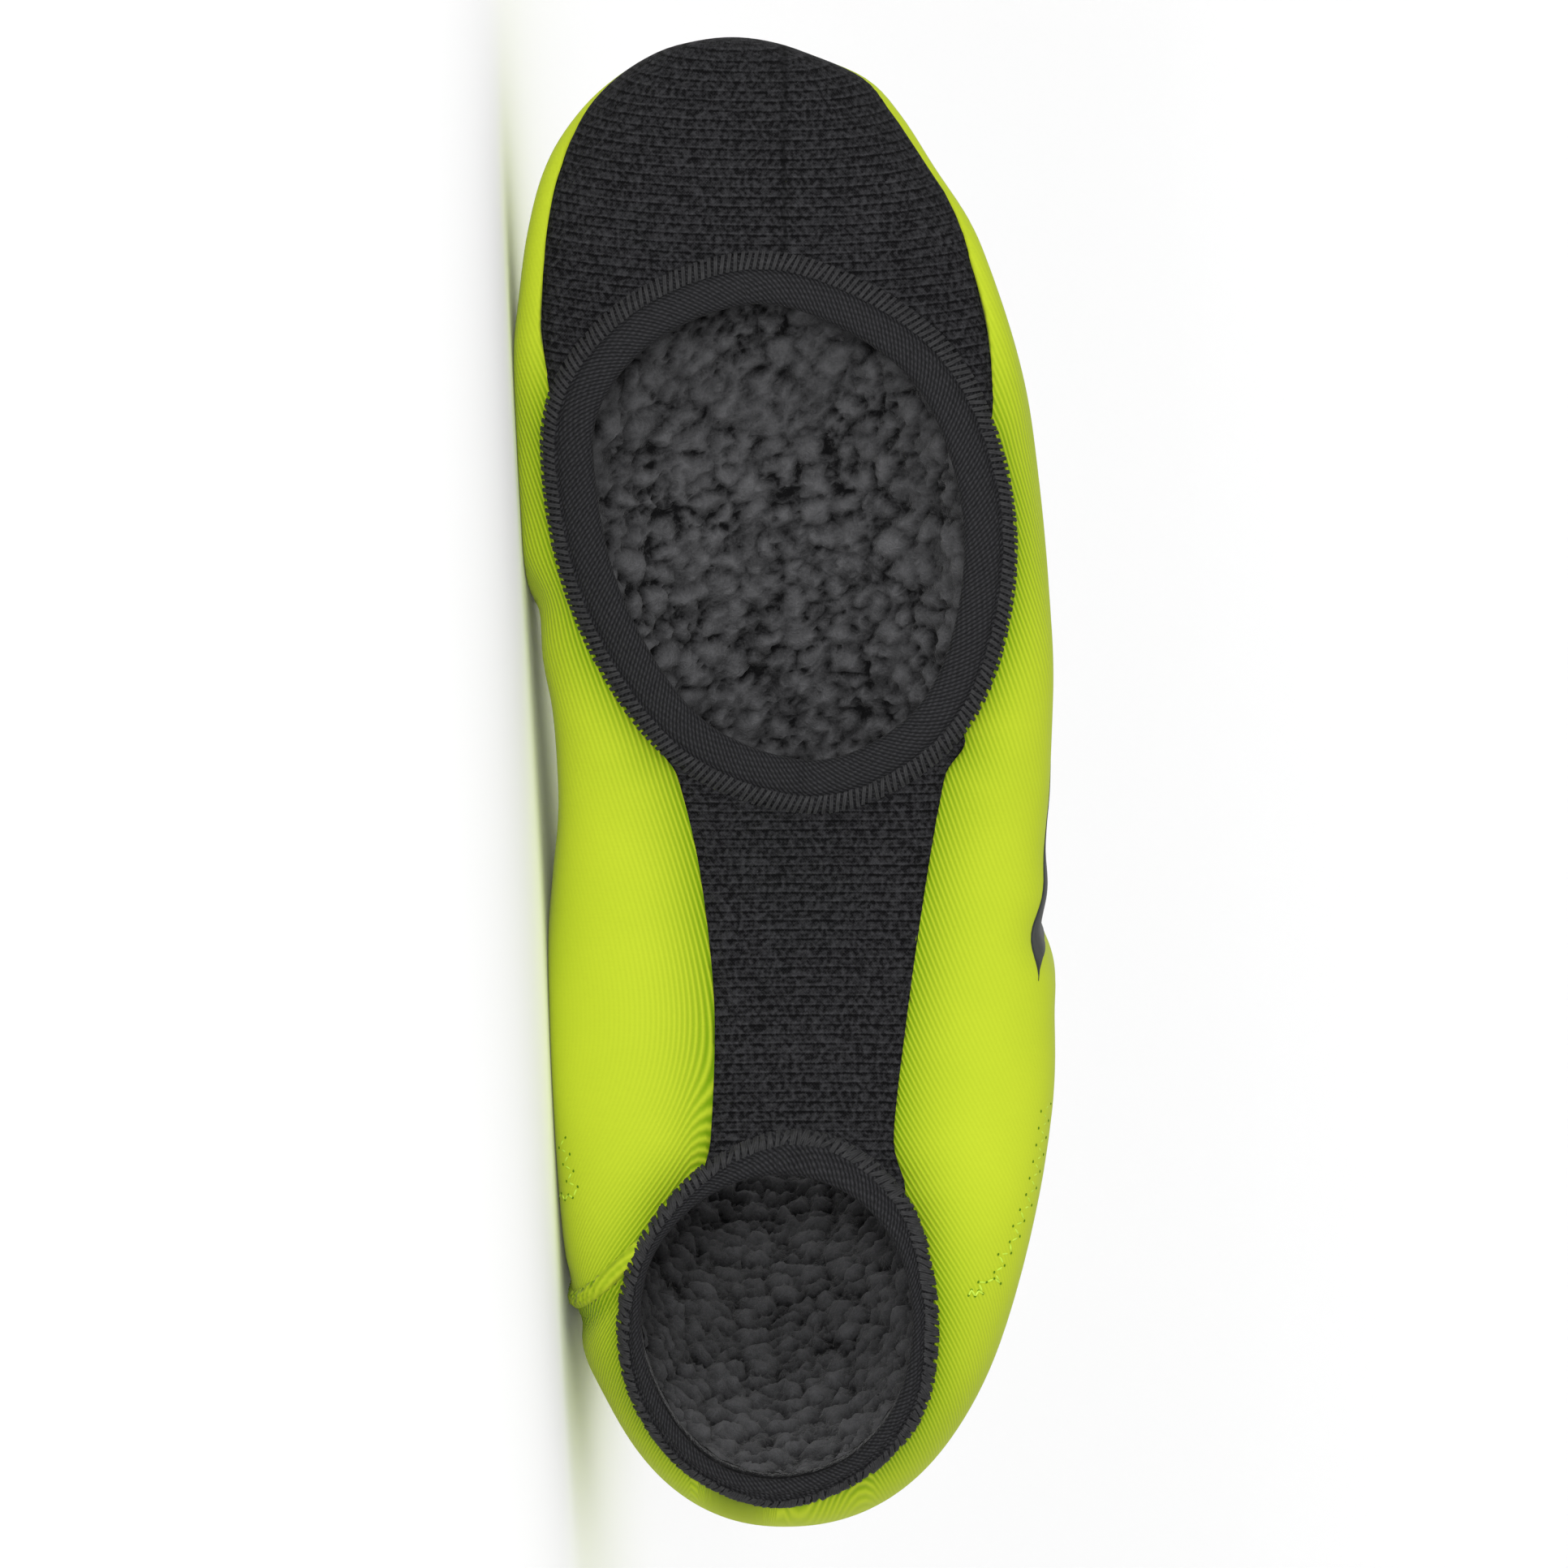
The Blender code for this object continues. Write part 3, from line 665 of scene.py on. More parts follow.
    def resting_matrix(self, whole: Sheet) -> np.ndarray:
        """The pose in which the ball, the heel's side and the collar lie on the floor, on the medial side."""
        turn = np.array([[-1.0, 0, 0], [0, 0, 1], [0, 1, 0]])
        along, height = whole.points[:, 0] / self.length, whole.points[:, 2] / self.instep_height
        hem = self.below_collar(whole.points) < self.hem_width
        skin = whole.points + np.where(hem, self.hem_proud, 0)[:, None] * whole.outward
        zones = [along > 0.55, (along < 0.42) & (height < 0.45), hem]
        for _ in range(6):
            placed = skin @ turn.T
            feet = [placed[zone][np.argmin(placed[zone][:, 2])] for zone in zones]
            up = np.cross(feet[1] - feet[0], feet[2] - feet[0])
            up *= np.sign(up[2])
            square = Vector(up).rotation_difference(Vector((0, 0, 1))).to_matrix()
            turn = np.array(square) @ turn
        placed = skin @ turn.T
        low, high = placed.min(axis=0), placed.max(axis=0)
        pose = np.eye(4)
        pose[:3, :3] = turn
        pose[:3, 3] = (-(low[0] + high[0]) / 2, -(low[1] + high[1]) / 2, -low[2] - self.settle)
        return pose

    def rested(self, points: np.ndarray) -> np.ndarray:
        """The points in the resting pose, pressed flat where they would lie under the floor."""
        placed = points @ self.pose[:3, :3].T + self.pose[:3, 3]
        height = placed[:, 2]
        eased = (height + self.settle_ease) ** 2 / (4 * self.settle_ease)
        on_floor = np.where(height < -self.settle_ease, 0, eased)
        placed[:, 2] = np.where(height < self.settle_ease, on_floor, height)
        return placed


def outward_directions(points: np.ndarray, faces: np.ndarray) -> np.ndarray:
    """The mean direction of the faces round each point, of length one."""
    corners = points[faces]
    across = np.cross(corners[:, 1] - corners[:, 0], corners[:, 2] - corners[:, 0])
    total = np.zeros_like(points)
    for k in range(3):
        np.add.at(total, faces[:, k], across)
    return total / np.maximum(np.linalg.norm(total, axis=1, keepdims=True), 1e-12)


def bell(distance: np.ndarray, width: float, centre: float = 0.0) -> np.ndarray:
    """A smooth bump of height one round a centre."""
    return np.exp(-(((distance - centre) / width) ** 2))


def swollen(distance: np.ndarray, swells: Sequence[Swell]) -> np.ndarray:
    """How far the knit stands out at a distance from an edge, in metres."""
    return MM * sum(s.height * bell(distance, s.width * MM, s.centre * MM) for s in swells)


def linear(hex_colour: str) -> tuple[float, float, float, float]:
    """An sRGB hex colour as linear red, green, blue and alpha."""
    parts = [int(hex_colour[k : k + 2], 16) / 255 for k in (1, 3, 5)]
    light = [p / 12.92 if p <= 0.04045 else ((p + 0.055) / 1.055) ** 2.4 for p in parts]
    return light[0], light[1], light[2], 1.0


def add_node(
    tree: bpy.types.NodeTree, kind: str, inputs: Optional[dict] = None, **settings
) -> bpy.types.Node:
    """Adds a node, with its settings and what goes into it.

    Args:
        tree: The tree that the node joins.
        kind: The node's type.
        inputs: Values, or output sockets to link, by the input's name or number.
        settings: The node's own properties.

    Returns:
        The node.
    """
    node = tree.nodes.new(kind)
    for name, value in settings.items():
        setattr(node, name, value)
    for key, value in (inputs or {}).items():
        if isinstance(value, bpy.types.NodeSocket):
            tree.links.new(value, node.inputs[key])
        else:
            node.inputs[key].default_value = value
    return node


def result(
    tree: bpy.types.NodeTree, kind: str, inputs: Optional[dict] = None, **settings
) -> bpy.types.NodeSocket:
    """The first output of a new node."""
    return add_node(tree, kind, inputs, **settings).outputs[0]


def math_node(
    tree: bpy.types.NodeTree, operation: str, first: Field, second: Field = 0.5, third: Field = 0.0
) -> bpy.types.NodeSocket:
    """The result of a Math node on values or sockets."""
    return result(tree, "ShaderNodeMath", {0: first, 1: second, 2: third}, operation=operation)


def scaled(tree: bpy.types.NodeTree, vector: Field, scale: Field) -> bpy.types.NodeSocket:
    """A vector times a number."""
    return result(tree, "ShaderNodeVectorMath", {0: vector, "Scale": scale}, operation="SCALE")


def clamped(tree: bpy.types.NodeTree, value: Field) -> bpy.types.NodeSocket:
    """A value held between zero and one."""
    return math_node(tree, "MAXIMUM", math_node(tree, "MINIMUM", value, 1.0), 0.0)


def noise_node(tree: bpy.types.NodeTree, place: Field, scale: float, detail: float) -> bpy.types.NodeSocket:
    """The strength of a Noise Texture."""
    return result(tree, "ShaderNodeTexNoise", {"Vector": place, "Scale": scale, "Detail": detail})


def facing_node(tree: bpy.types.NodeTree, up: Field, aim: Field) -> bpy.types.NodeSocket:
    """The rotation that turns Z to one direction and X towards another."""
    axes = {"Primary Axis": up, "Secondary Axis": aim}
    return result(tree, "FunctionNodeAxesToRotation", axes, primary_axis="Z", secondary_axis="X")


def named_vector(tree: bpy.types.NodeTree, name: str) -> bpy.types.NodeSocket:
    """A vector that the guide's points carry."""
    return result(tree, "GeometryNodeInputNamedAttribute", {"Name": name}, data_type="FLOAT_VECTOR")


def geometry_tree(
    name: str, sizes: Sequence[str], seeded: bool = False
) -> tuple[bpy.types.NodeTree, Sequence[bpy.types.NodeSocket]]:
    """Starts a Geometry Nodes tree.

    Args:
        name: The tree's name.
        sizes: The names of its number inputs.
        seeded: Whether it has a seed.

    Returns:
        The tree and the group input's outputs.
    """
    tree = bpy.data.node_groups.new(name, "GeometryNodeTree")
    sockets = tree.interface
    sockets.new_socket("Guide", in_out="INPUT", socket_type="NodeSocketGeometry")
    for size in sizes:
        sockets.new_socket(size, in_out="INPUT", socket_type="NodeSocketFloat")
    if seeded:
        sockets.new_socket("Seed", in_out="INPUT", socket_type="NodeSocketInt")
    sockets.new_socket("Piece", in_out="OUTPUT", socket_type="NodeSocketGeometry")
    return tree, tree.nodes.new("NodeGroupInput").outputs


def close_tree(tree: bpy.types.NodeTree, made: bpy.types.NodeSocket, material: bpy.types.Material) -> None:
    """Ends a Geometry Nodes tree in real geometry with a material."""
    real = result(tree, "GeometryNodeRealizeInstances", {"Geometry": made})
    dressed = result(tree, "GeometryNodeSetMaterial", {"Geometry": real, "Material": material})
    add_node(tree, "NodeGroupOutput", {0: dressed})


@dataclass(frozen=True)
class Cloth:
    """What every cloth finish has: a lit and a hollow colour, and how it scatters light."""

    name: str
    light: str
    dark: str
    roughness: float
    sheen: float = 0.0
    bump: float = 0.3 * MM

    def build(self) -> bpy.types.Material:
        """Makes the material, unless it has been made.

        Returns:
            The material.
        """
        found = bpy.data.materials.get(self.name)
        if found:
            return found
        material = bpy.data.materials.new(self.name)
        material.use_nodes = True
        tree = material.node_tree
        shader = tree.nodes["Principled BSDF"]
        shader.inputs["Roughness"].default_value = self.roughness
        shader.inputs["Specular IOR Level"].default_value = 0.08
        shader.inputs["Sheen Weight"].default_value = self.sheen
        shader.inputs["Sheen Roughness"].default_value = 0.4
        tone, height = self.pattern(tree)
        colours = {0: tone, 6: linear(self.dark), 7: linear(self.light)}
        mix = add_node(tree, "ShaderNodeMix", colours, data_type="RGBA")
        tree.links.new(mix.outputs[2], shader.inputs["Base Color"])
        relief = add_node(tree, "ShaderNodeBump", {"Strength": 1.0, "Distance": self.bump, "Height": height})
        tree.links.new(relief.outputs[0], shader.inputs["Normal"])
        return material

    def pattern(self, tree: bpy.types.NodeTree) -> tuple[bpy.types.NodeSocket, bpy.types.NodeSocket]:
        """The tone, from the dark colour to the light one, and the relief's height, both from 0 to 1."""
        place = object_place(tree)
        grain = noise_node(tree, place, 900.0, 3.0)
        return grain, grain


def object_place(tree: bpy.types.NodeTree) -> bpy.types.NodeSocket:
    """The place in the piece's own coordinates."""
    return add_node(tree, "ShaderNodeTexCoord").outputs["Object"]


def cloth_place(tree: bpy.types.NodeTree) -> tuple[bpy.types.NodeSocket, bpy.types.NodeSocket]:
    """The two millimetre coordinates of the piece's own UV map."""
    place = add_node(tree, "ShaderNodeUVMap", uv_map="cloth").outputs[0]
    parts = add_node(tree, "ShaderNodeSeparateXYZ", {0: place})
    return parts.outputs[0], parts.outputs[1]


def wave(tree: bpy.types.NodeTree, place: bpy.types.NodeSocket, pitch: float) -> bpy.types.NodeSocket:
    """A wave from 0 to 1 along a coordinate, of a pitch in the coordinate's own unit."""
    turn = math_node(tree, "MULTIPLY", place, 2 * math.pi / pitch)
    return math_node(tree, "MULTIPLY_ADD", math_node(tree, "SINE", turn), 0.5, 0.5)


@dataclass(frozen=True)
class RibbedKnit(Cloth):
    """Stretch knit with fine ribs, which open up where the cloth is drawn into a seam; the rib valleys and
    the cloth beside the seams are darkened with painted shade.
    """

    rib_pitch: float = 1.05
    loop_pitch: float = 0.8

    def pattern(self, tree: bpy.types.NodeTree) -> tuple[bpy.types.NodeSocket, bpy.types.NodeSocket]:
        """The ribs' tone, darkened with painted shade in the rib valleys and beside the seams, and their
        height.
        """
        across, along = cloth_place(tree)
        place = object_place(tree)
        drawn = add_node(tree, "ShaderNodeAttribute", attribute_name="drawn").outputs["Fac"]
        cloudy = noise_node(tree, place, 45.0, 2.0)
        fuzz = noise_node(tree, place, 2200.0, 2.0)
        rib = wave(tree, across, self.rib_pitch)
        loop = wave(tree, along, self.loop_pitch)
        # Ribs show faintly on taut cloth and strongly where it is drawn in, their valleys darkened as painted
        # shade
        depth = math_node(tree, "MULTIPLY_ADD", drawn, 0.85, 0.03)
        valley = math_node(tree, "MULTIPLY", math_node(tree, "SUBTRACT", 1.0, rib), depth)
        # Painted shade: the cloth beside the seams is darkened further
        shade = math_node(tree, "MULTIPLY", drawn, 0.35)
        tone = math_node(tree, "SUBTRACT", 1.0, math_node(tree, "ADD", valley, shade))
        tone = math_node(tree, "ADD", tone, math_node(tree, "MULTIPLY_ADD", cloudy, 0.20, -0.12))
        tone = clamped(tree, tone)
        ridge = math_node(tree, "MULTIPLY", rib, math_node(tree, "MULTIPLY_ADD", drawn, 1.0, 0.06))
        height = math_node(tree, "MULTIPLY_ADD", loop, 0.07, ridge)
        return tone, math_node(tree, "MULTIPLY_ADD", fuzz, 0.13, height)


@dataclass(frozen=True)
class RipstopWeave(Cloth):
    """Coated black weave: a thicker thread every few millimetres over a fine crinkled twill, with painted
    highlights on the thick threads and the crinkles and painted shadow in the groove under each thick thread.
    """

    line_pitch: float = 1.85
    thread_pitch: float = 0.60
    dash_pitch: float = 1.3

    def pattern(self, tree: bpy.types.NodeTree) -> tuple[bpy.types.NodeSocket, bpy.types.NodeSocket]:
        """The threads' tone, with its painted highlights and shadow, and their height."""
        across, along = cloth_place(tree)
        place = object_place(tree)
        crinkle = noise_node(tree, place, 1100.0, 2.0)
        cloudy = noise_node(tree, place, 160.0, 3.0)
        sway = math_node(tree, "MULTIPLY_ADD", cloudy, 0.35, along)
        line = math_node(tree, "POWER", wave(tree, sway, self.line_pitch), 7.0)
        # Each thick thread has a groove just under it, which dips and is darkened as painted shadow
        under = math_node(tree, "ADD", sway, 0.20 * self.line_pitch)
        groove = math_node(tree, "POWER", wave(tree, under, self.line_pitch), 7.0)
        slant = math_node(tree, "ADD", across, math_node(tree, "MULTIPLY", along, 0.8))
        thread = wave(tree, math_node(tree, "MULTIPLY_ADD", crinkle, 0.5, slant), self.thread_pitch)
        cross = wave(tree, math_node(tree, "SUBTRACT", across, along), 0.9 * self.thread_pitch)
        weave = math_node(tree, "MULTIPLY", thread, cross)
        coarse = math_node(tree, "MULTIPLY_ADD", crinkle, 3.0, -1.1)
        coarse = clamped(tree, coarse)
        # The thick thread dips under the others now and then, which breaks its line into dashes
        dash = wave(tree, math_node(tree, "MULTIPLY_ADD", cloudy, 4.0, across), self.dash_pitch)
        line = math_node(tree, "MULTIPLY", line, math_node(tree, "MULTIPLY_ADD", dash, 0.6, 0.4))
        height = math_node(tree, "MULTIPLY_ADD", line, 0.55, math_node(tree, "MULTIPLY", weave, 0.3))
        height = math_node(tree, "MULTIPLY_ADD", coarse, 0.65, height)
        height = math_node(tree, "MULTIPLY_ADD", groove, -0.30, height)
        # Painted light: the thick threads and the crinkles are lightened as highlights, the grooves darkened
        # as shadow; the twill's own tone is its pattern
        tone = math_node(tree, "MULTIPLY_ADD", line, 0.40, math_node(tree, "MULTIPLY", weave, 0.25))
        tone = math_node(tree, "MULTIPLY_ADD", coarse, 0.70, tone)
        tone = math_node(tree, "MULTIPLY_ADD", groove, -0.32, tone)
        return clamped(tree, tone), height


@dataclass(frozen=True)
class TwillKnit(Cloth):
    """Smooth black knit of the bindings, with fine diagonal threads along them."""

    thread_pitch: float = 0.95

    def pattern(self, tree: bpy.types.NodeTree) -> tuple[bpy.types.NodeSocket, bpy.types.NodeSocket]:
        """The threads' tone and height."""
        along, across = cloth_place(tree)
        place = object_place(tree)
        fuzz = noise_node(tree, place, 1500.0, 2.0)
        slant = math_node(tree, "ADD", along, math_node(tree, "MULTIPLY", across, 0.9))
        thread = wave(tree, math_node(tree, "MULTIPLY_ADD", fuzz, 0.6, slant), self.thread_pitch)
        strand = math_node(tree, "SUBTRACT", across, math_node(tree, "MULTIPLY", along, 0.25))
        broken = math_node(tree, "MULTIPLY", thread, wave(tree, strand, 1.1))
        both = math_node(tree, "MULTIPLY_ADD", thread, 0.35, math_node(tree, "MULTIPLY", broken, 0.45))
        height = math_node(tree, "MULTIPLY_ADD", fuzz, 0.35, both)
        return math_node(tree, "MINIMUM", height, 1.0), height


@dataclass(frozen=True)
class CurlyFleece(Cloth):
    """Dark curly fleece: the clumps' own height sets their painted light and shade, lighter on top and darker
    in the grooves, with fine curls over them.
    """

    curl_scale: float = 520.0

    def pattern(self, tree: bpy.types.NodeTree) -> tuple[bpy.types.NodeSocket, bpy.types.NodeSocket]:
        """The curls' tone, painted lighter on their tops and darker between them, and their height."""
        place = object_place(tree)
        tuft_painted_light = add_node(tree, "ShaderNodeAttribute", attribute_name="tuft_painted_light").outputs["Fac"]
        curly = {"Vector": place, "Scale": self.curl_scale, "Detail": 4.0, "Distortion": 1.6}
        curl = result(tree, "ShaderNodeTexNoise", curly)
        fibre = noise_node(tree, place, 2400.0, 3.0)
        height = math_node(tree, "MULTIPLY_ADD", fibre, 0.45, math_node(tree, "MULTIPLY", curl, 0.55))
        # Painted light and shade: the clumps' tops are lightened, and their grooves and the base layer
        # darkened
        lit = math_node(tree, "MULTIPLY_ADD", tuft_painted_light, 0.90, -0.55)
        tone = math_node(tree, "MULTIPLY_ADD", height, 0.70, lit)
        return clamped(tree, tone), height


# Bright high-visibility knit, almost without gloss: the eye reads it as stretched fluorescent fabric
# Its dark colour is the painted shade of the rib valleys and of the cloth beside the seams
NEON_KNIT = RibbedKnit("neon ribbed knit", "#A6B527", "#648404", 0.82, sheen=0.04, bump=0.26 * MM)
# Dull coated weave with raised threads: reads as tougher than the knit
PANEL_WEAVE = RipstopWeave("black ripstop weave", "#323234", "#040405", 0.85, bump=0.24 * MM)
# Soft black tape: darker and smoother than the weave, so that the rings stand out from the panels
BINDING_KNIT = TwillKnit("black binding knit", "#303032", "#060607", 0.86, sheen=0.03, bump=0.18 * MM)
# Curly lining with painted highlights on the tips and painted shade in the gaps: reads as deep and warm
LINING_FLEECE = CurlyFleece("dark curly fleece", "#707072", "#101011", 0.95, sheen=0.15, bump=0.7 * MM)
# Overlock thread, a shade lighter than what it sews, so that each stitch shows
DARK_THREAD = Cloth("dark sewing thread", "#3C3C3D", "#121213", 0.6, bump=0.08 * MM)
# Thread of the tacks, close to the knit's own colour
NEON_THREAD = Cloth("neon sewing thread", "#C6DE56", "#8CB018", 0.45, bump=0.05 * MM)
# Needle holes and the shadow in them, painted as small dark beads
NEEDLE_HOLE_SHADOW = Cloth("needle hole shadow", "#5C8010", "#3C5C06", 0.9)
# Printed dark stripe with a slight film gloss
STRIPE_PRINT = Cloth("dark printed film", "#343733", "#242622", 0.5, bump=0.05 * MM)


def make_piece(
    name: str,
    points: np.ndarray,
    faces: Sequence[Sequence[int]],
    finish: Cloth,
    stands_for: Sequence[str] = (),
    cloth: Optional[np.ndarray] = None,
    marks: Optional[dict[str, np.ndarray]] = None,
) -> bpy.types.Object:
    """Makes an object that rides on the frame.

    Args:
        name: The piece's name.
        points: Its points, in the world.
        faces: Its faces, all pointing outwards.
        finish: Its finish.
        stands_for: The CAD nodes that it replaces.
        cloth: Two millimetre coordinates for each corner of each face, in order.
        marks: A number at each point, by name, for the material.

    Returns:
        The object.
    """
    mesh = bpy.data.meshes.new(name)
    mesh.from_pydata(points.tolist(), [], [list(map(int, face)) for face in faces])
    if cloth is not None:
        layer = mesh.uv_layers.new(name="cloth")
        layer.data.foreach_set("uv", np.asarray(cloth, dtype=np.float32).ravel())
    for mark, values in (marks or {}).items():
        store(mesh, mark, values)
    mesh.materials.append(finish.build())
    mesh.shade_smooth()
    return dress(bpy.data.objects.new(name, mesh), stands_for)


def dress(piece: bpy.types.Object, stands_for: Sequence[str] = ()) -> bpy.types.Object:
    """Links a piece and ties it to the frame.

    Args:
        piece: The finished object.
        stands_for: The CAD nodes that it replaces.

    Returns:
        The object.
    """
    if piece.name not in bpy.context.scene.collection.objects:
        bpy.context.scene.collection.objects.link(piece)
    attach(piece, "root")
    if stands_for:
        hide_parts(*stands_for)
    LOG.info("%s: %d faces", piece.name, len(piece.data.polygons))
    return piece


def shell_faces(faces: np.ndarray, count: int) -> np.ndarray:
    """The triangles of a closed wall whose outer points come first and whose inner points follow.

    Args:
        faces: The outer layer's triangles.
        count: How many points one layer has.

    Returns:
        Both layers' triangles and the rim's.
    """
    edges = np.vstack([faces[:, [0, 1]], faces[:, [1, 2]], faces[:, [2, 0]]])
    _, first, times = np.unique(np.sort(edges, axis=1), axis=0, return_index=True, return_counts=True)
    i, j = edges[first[times == 1]].T
    rim = np.vstack([np.column_stack([j, i, i + count]), np.column_stack([j, i + count, j + count])])
    return np.vstack([faces, faces[:, ::-1] + count, rim])


def make_wall(
    name: str,
    last: "Last",
    faces: np.ndarray,
    outer: np.ndarray,
    inner: np.ndarray,
    finish: Cloth,
    stands_for: Sequence[str] = (),
    corners: Optional[np.ndarray] = None,
    marks: Optional[dict[str, np.ndarray]] = None,
) -> bpy.types.Object:
    """Makes a closed wall of cloth between two layers, in the resting pose.

    Args:
        name: The piece's name.
        last: The last, for the pose.
        faces: The outer layer's triangles.
        outer: The outer layer's points, in the shoe's frame.
        inner: The inner layer's points, one for each outer one.
        finish: The cloth's finish.
        stands_for: The CAD nodes that the wall replaces.
        corners: Two millimetre coordinates for each corner of the outer layer's faces.
        marks: A number at each outer point, by name, for the material.

    Returns:
        The wall.
    """
    count = len(outer)
    points = np.vstack([last.rested(outer), last.rested(inner)])
    wall = shell_faces(faces, count)
    cloth = None
    if corners is not None:
        per_point = np.zeros((2 * count, 2))
        per_point[faces.ravel()] = corners
        per_point[faces.ravel() + count] = corners
        cloth = per_point[wall.ravel()]
        cloth[: len(corners)] = corners
    both = {mark: np.tile(values, 2) for mark, values in (marks or {}).items()}
    return make_piece(name, points, wall, finish, stands_for, cloth, both)


@dataclass
class KnitGrain:
    """How the ribs of the knit run: nearly along the foot, and turned towards the heel on the medial side."""

    lean: float = 0.36
    heel_lean_lateral: float = 0.30
    heel_lean_medial: float = -1.25
    turn_along: float = 0.092
    turn_length: float = 0.012
    ease: float = 0.020

    def coordinates(self, sheet: Sheet) -> np.ndarray:
        """The millimetre coordinates at each corner of each face, across the ribs and along them.

        Args:
            sheet: The sheet of cloth.

        Returns:
            One row for each corner.
        """
        girth = sheet.girths()
        along = sheet.points[sheet.faces][..., 0].ravel()
        behind = np.logaddexp(0, (self.turn_along - along) / self.turn_length) * self.turn_length
        share = np.clip(np.abs(girth) / self.ease, 0, 1)
        share = share * share * (3 - 2 * share)
        heel_lean = np.where(girth < 0, self.heel_lean_medial, self.heel_lean_lateral) * share
        across = girth + self.lean * along - heel_lean * behind
        return np.column_stack([across, along]) / MM


@dataclass
class Body:
    """The neon body: upper and sole in one knit, cut out for the panels and the bindings."""

    last: Last
    wall: float = 1.1 * MM
    gap: float = 0.15 * MM
    ball_binding_width: float = 10.0 * MM
    welt_width: float = 3.2 * MM
    sole_height: float = 12 * MM
    toe_from: float = 0.7
    tuck: float = 0.9 * MM
    welt_tuck: float = 0.6 * MM
    drawn_reach: tuple[float, float, float, float] = (6.5 * MM, 5 * MM, 6 * MM, 4 * MM)
    drawn_seam: float = 3 * MM
    ridge: float = 0.45
    ridge_place: float = 1.9
    side_fade: float = 12 * MM
    slack: float = 0.35
    slack_scale: float = 26.0
    grain: KnitGrain = field(default_factory=KnitGrain)

    def sheet(self, whole: Sheet) -> Sheet:
        """The body's cut from the whole surface."""
        cut = whole.kept(lambda m: m.collar - self.last.hem_width - self.gap)
        cut = cut.kept(lambda m: m.ball_opening - self.ball_binding_width + self.tuck)
        cut = cut.kept(lambda m: m.heel_binding + self.tuck)
        cut = cut.kept(lambda m: m.toe_seam - self.gap)
        cut = cut.kept(lambda m: m.arch - self.gap)
        reach = self.welt_width / 2 - self.welt_tuck
        ahead, behind = lambda m: m.medial_seam - reach, lambda m: -m.medial_seam - reach
        return cut.kept(ahead, behind, lambda m: m.seam_side)

    def edges(self, sheet: Sheet) -> list[np.ndarray]:
        """Each point's distance from the arch panel, the ball's binding and the heel's binding."""
        measures = sheet.measures
        climb = np.maximum(sheet.points[:, 2] - self.sole_height, 0)
        ball = measures.ball_opening - self.ball_binding_width
        return [np.hypot(np.maximum(gap, 0), climb) for gap in (measures.arch, ball, measures.heel_binding)]

    def relief(self, sheet: Sheet) -> np.ndarray:
        """How far each point of the cloth stands out from the last.

        Args:
            sheet: The body's sheet.

        Returns:
            The distance along the outward direction.
        """
        measures = sheet.measures
        arch, ball, heel = self.edges(sheet)
        ahead_of_toe_seam = sheet.points[:, 0] >= self.toe_from * self.last.length
        toe = np.where(ahead_of_toe_seam, np.maximum(measures.toe_seam, 0), self.last.length)
        total = swollen(arch, ARCH_SWELLS) + swollen(ball, BALL_SWELLS) + swollen(heel, HEEL_SWELLS)
        total += swollen(toe, TOE_SWELLS)
        total += np.where(measures.seam_side < 0, swollen(measures.medial_seam, SEAM_SWELLS), 0.0)
        return total + self.creases(sheet)

    def creases(self, sheet: Sheet) -> np.ndarray:
        """The troughs down the sides, with a soft ridge on both sides of each."""
        total = np.zeros(len(sheet.points))
        place = sheet.points[:, [0, 2]] / MM
        for crease in CREASES:
            start, end = np.array(crease.start), np.array(crease.end)
            run = end - start
            share = ((place - start) @ run) / (run @ run)
            foot = start + np.clip(share, 0, 1)[:, None] * run
            away = np.linalg.norm(place - foot, axis=1)
            ridge = bell(away, crease.width, self.ridge_place * crease.width)
            fade = np.clip(sheet.points[:, 1] * crease.side.value / self.side_fade, 0, 1)
            total -= crease.depth * (bell(away, crease.width) - self.ridge * ridge) * fade
        slack = [noise.noise(Vector(p) * self.slack_scale) for p in sheet.points]
        return MM * (total + self.slack * np.array(slack))

    def drawn(self, sheet: Sheet) -> np.ndarray:
        """How much the knit is drawn into the seams round it, from 0 to 1; it also sets the painted shade
        beside the seams.
        """
        measures = sheet.measures
        beside = np.abs(measures.medial_seam + self.drawn_seam)
        seam = np.where(measures.seam_side < 0, beside, self.last.length)
        gaps = self.edges(sheet) + [seam]
        return np.exp(-np.min([gap / reach for gap, reach in zip(gaps, self.drawn_reach)], axis=0))

    def build(self, whole: Sheet) -> "Skin":
        """Makes the body, and gives its outer surface for what is sewn on it."""
        sheet = self.sheet(whole)
        outer = sheet.points + self.relief(sheet)[:, None] * sheet.outward
        inner = outer - self.wall * sheet.outward
        make_wall(
            "knit_body",
            self.last,
            sheet.faces,
            outer,
            inner,
            NEON_KNIT,
            stands_for=["upper"],
            corners=self.grain.coordinates(sheet),
            # The drawn mark also darkens the knit beside the seams as painted shade
            marks={"drawn": self.drawn(sheet)},
        )
        return Skin(self.last, outer, sheet.faces)


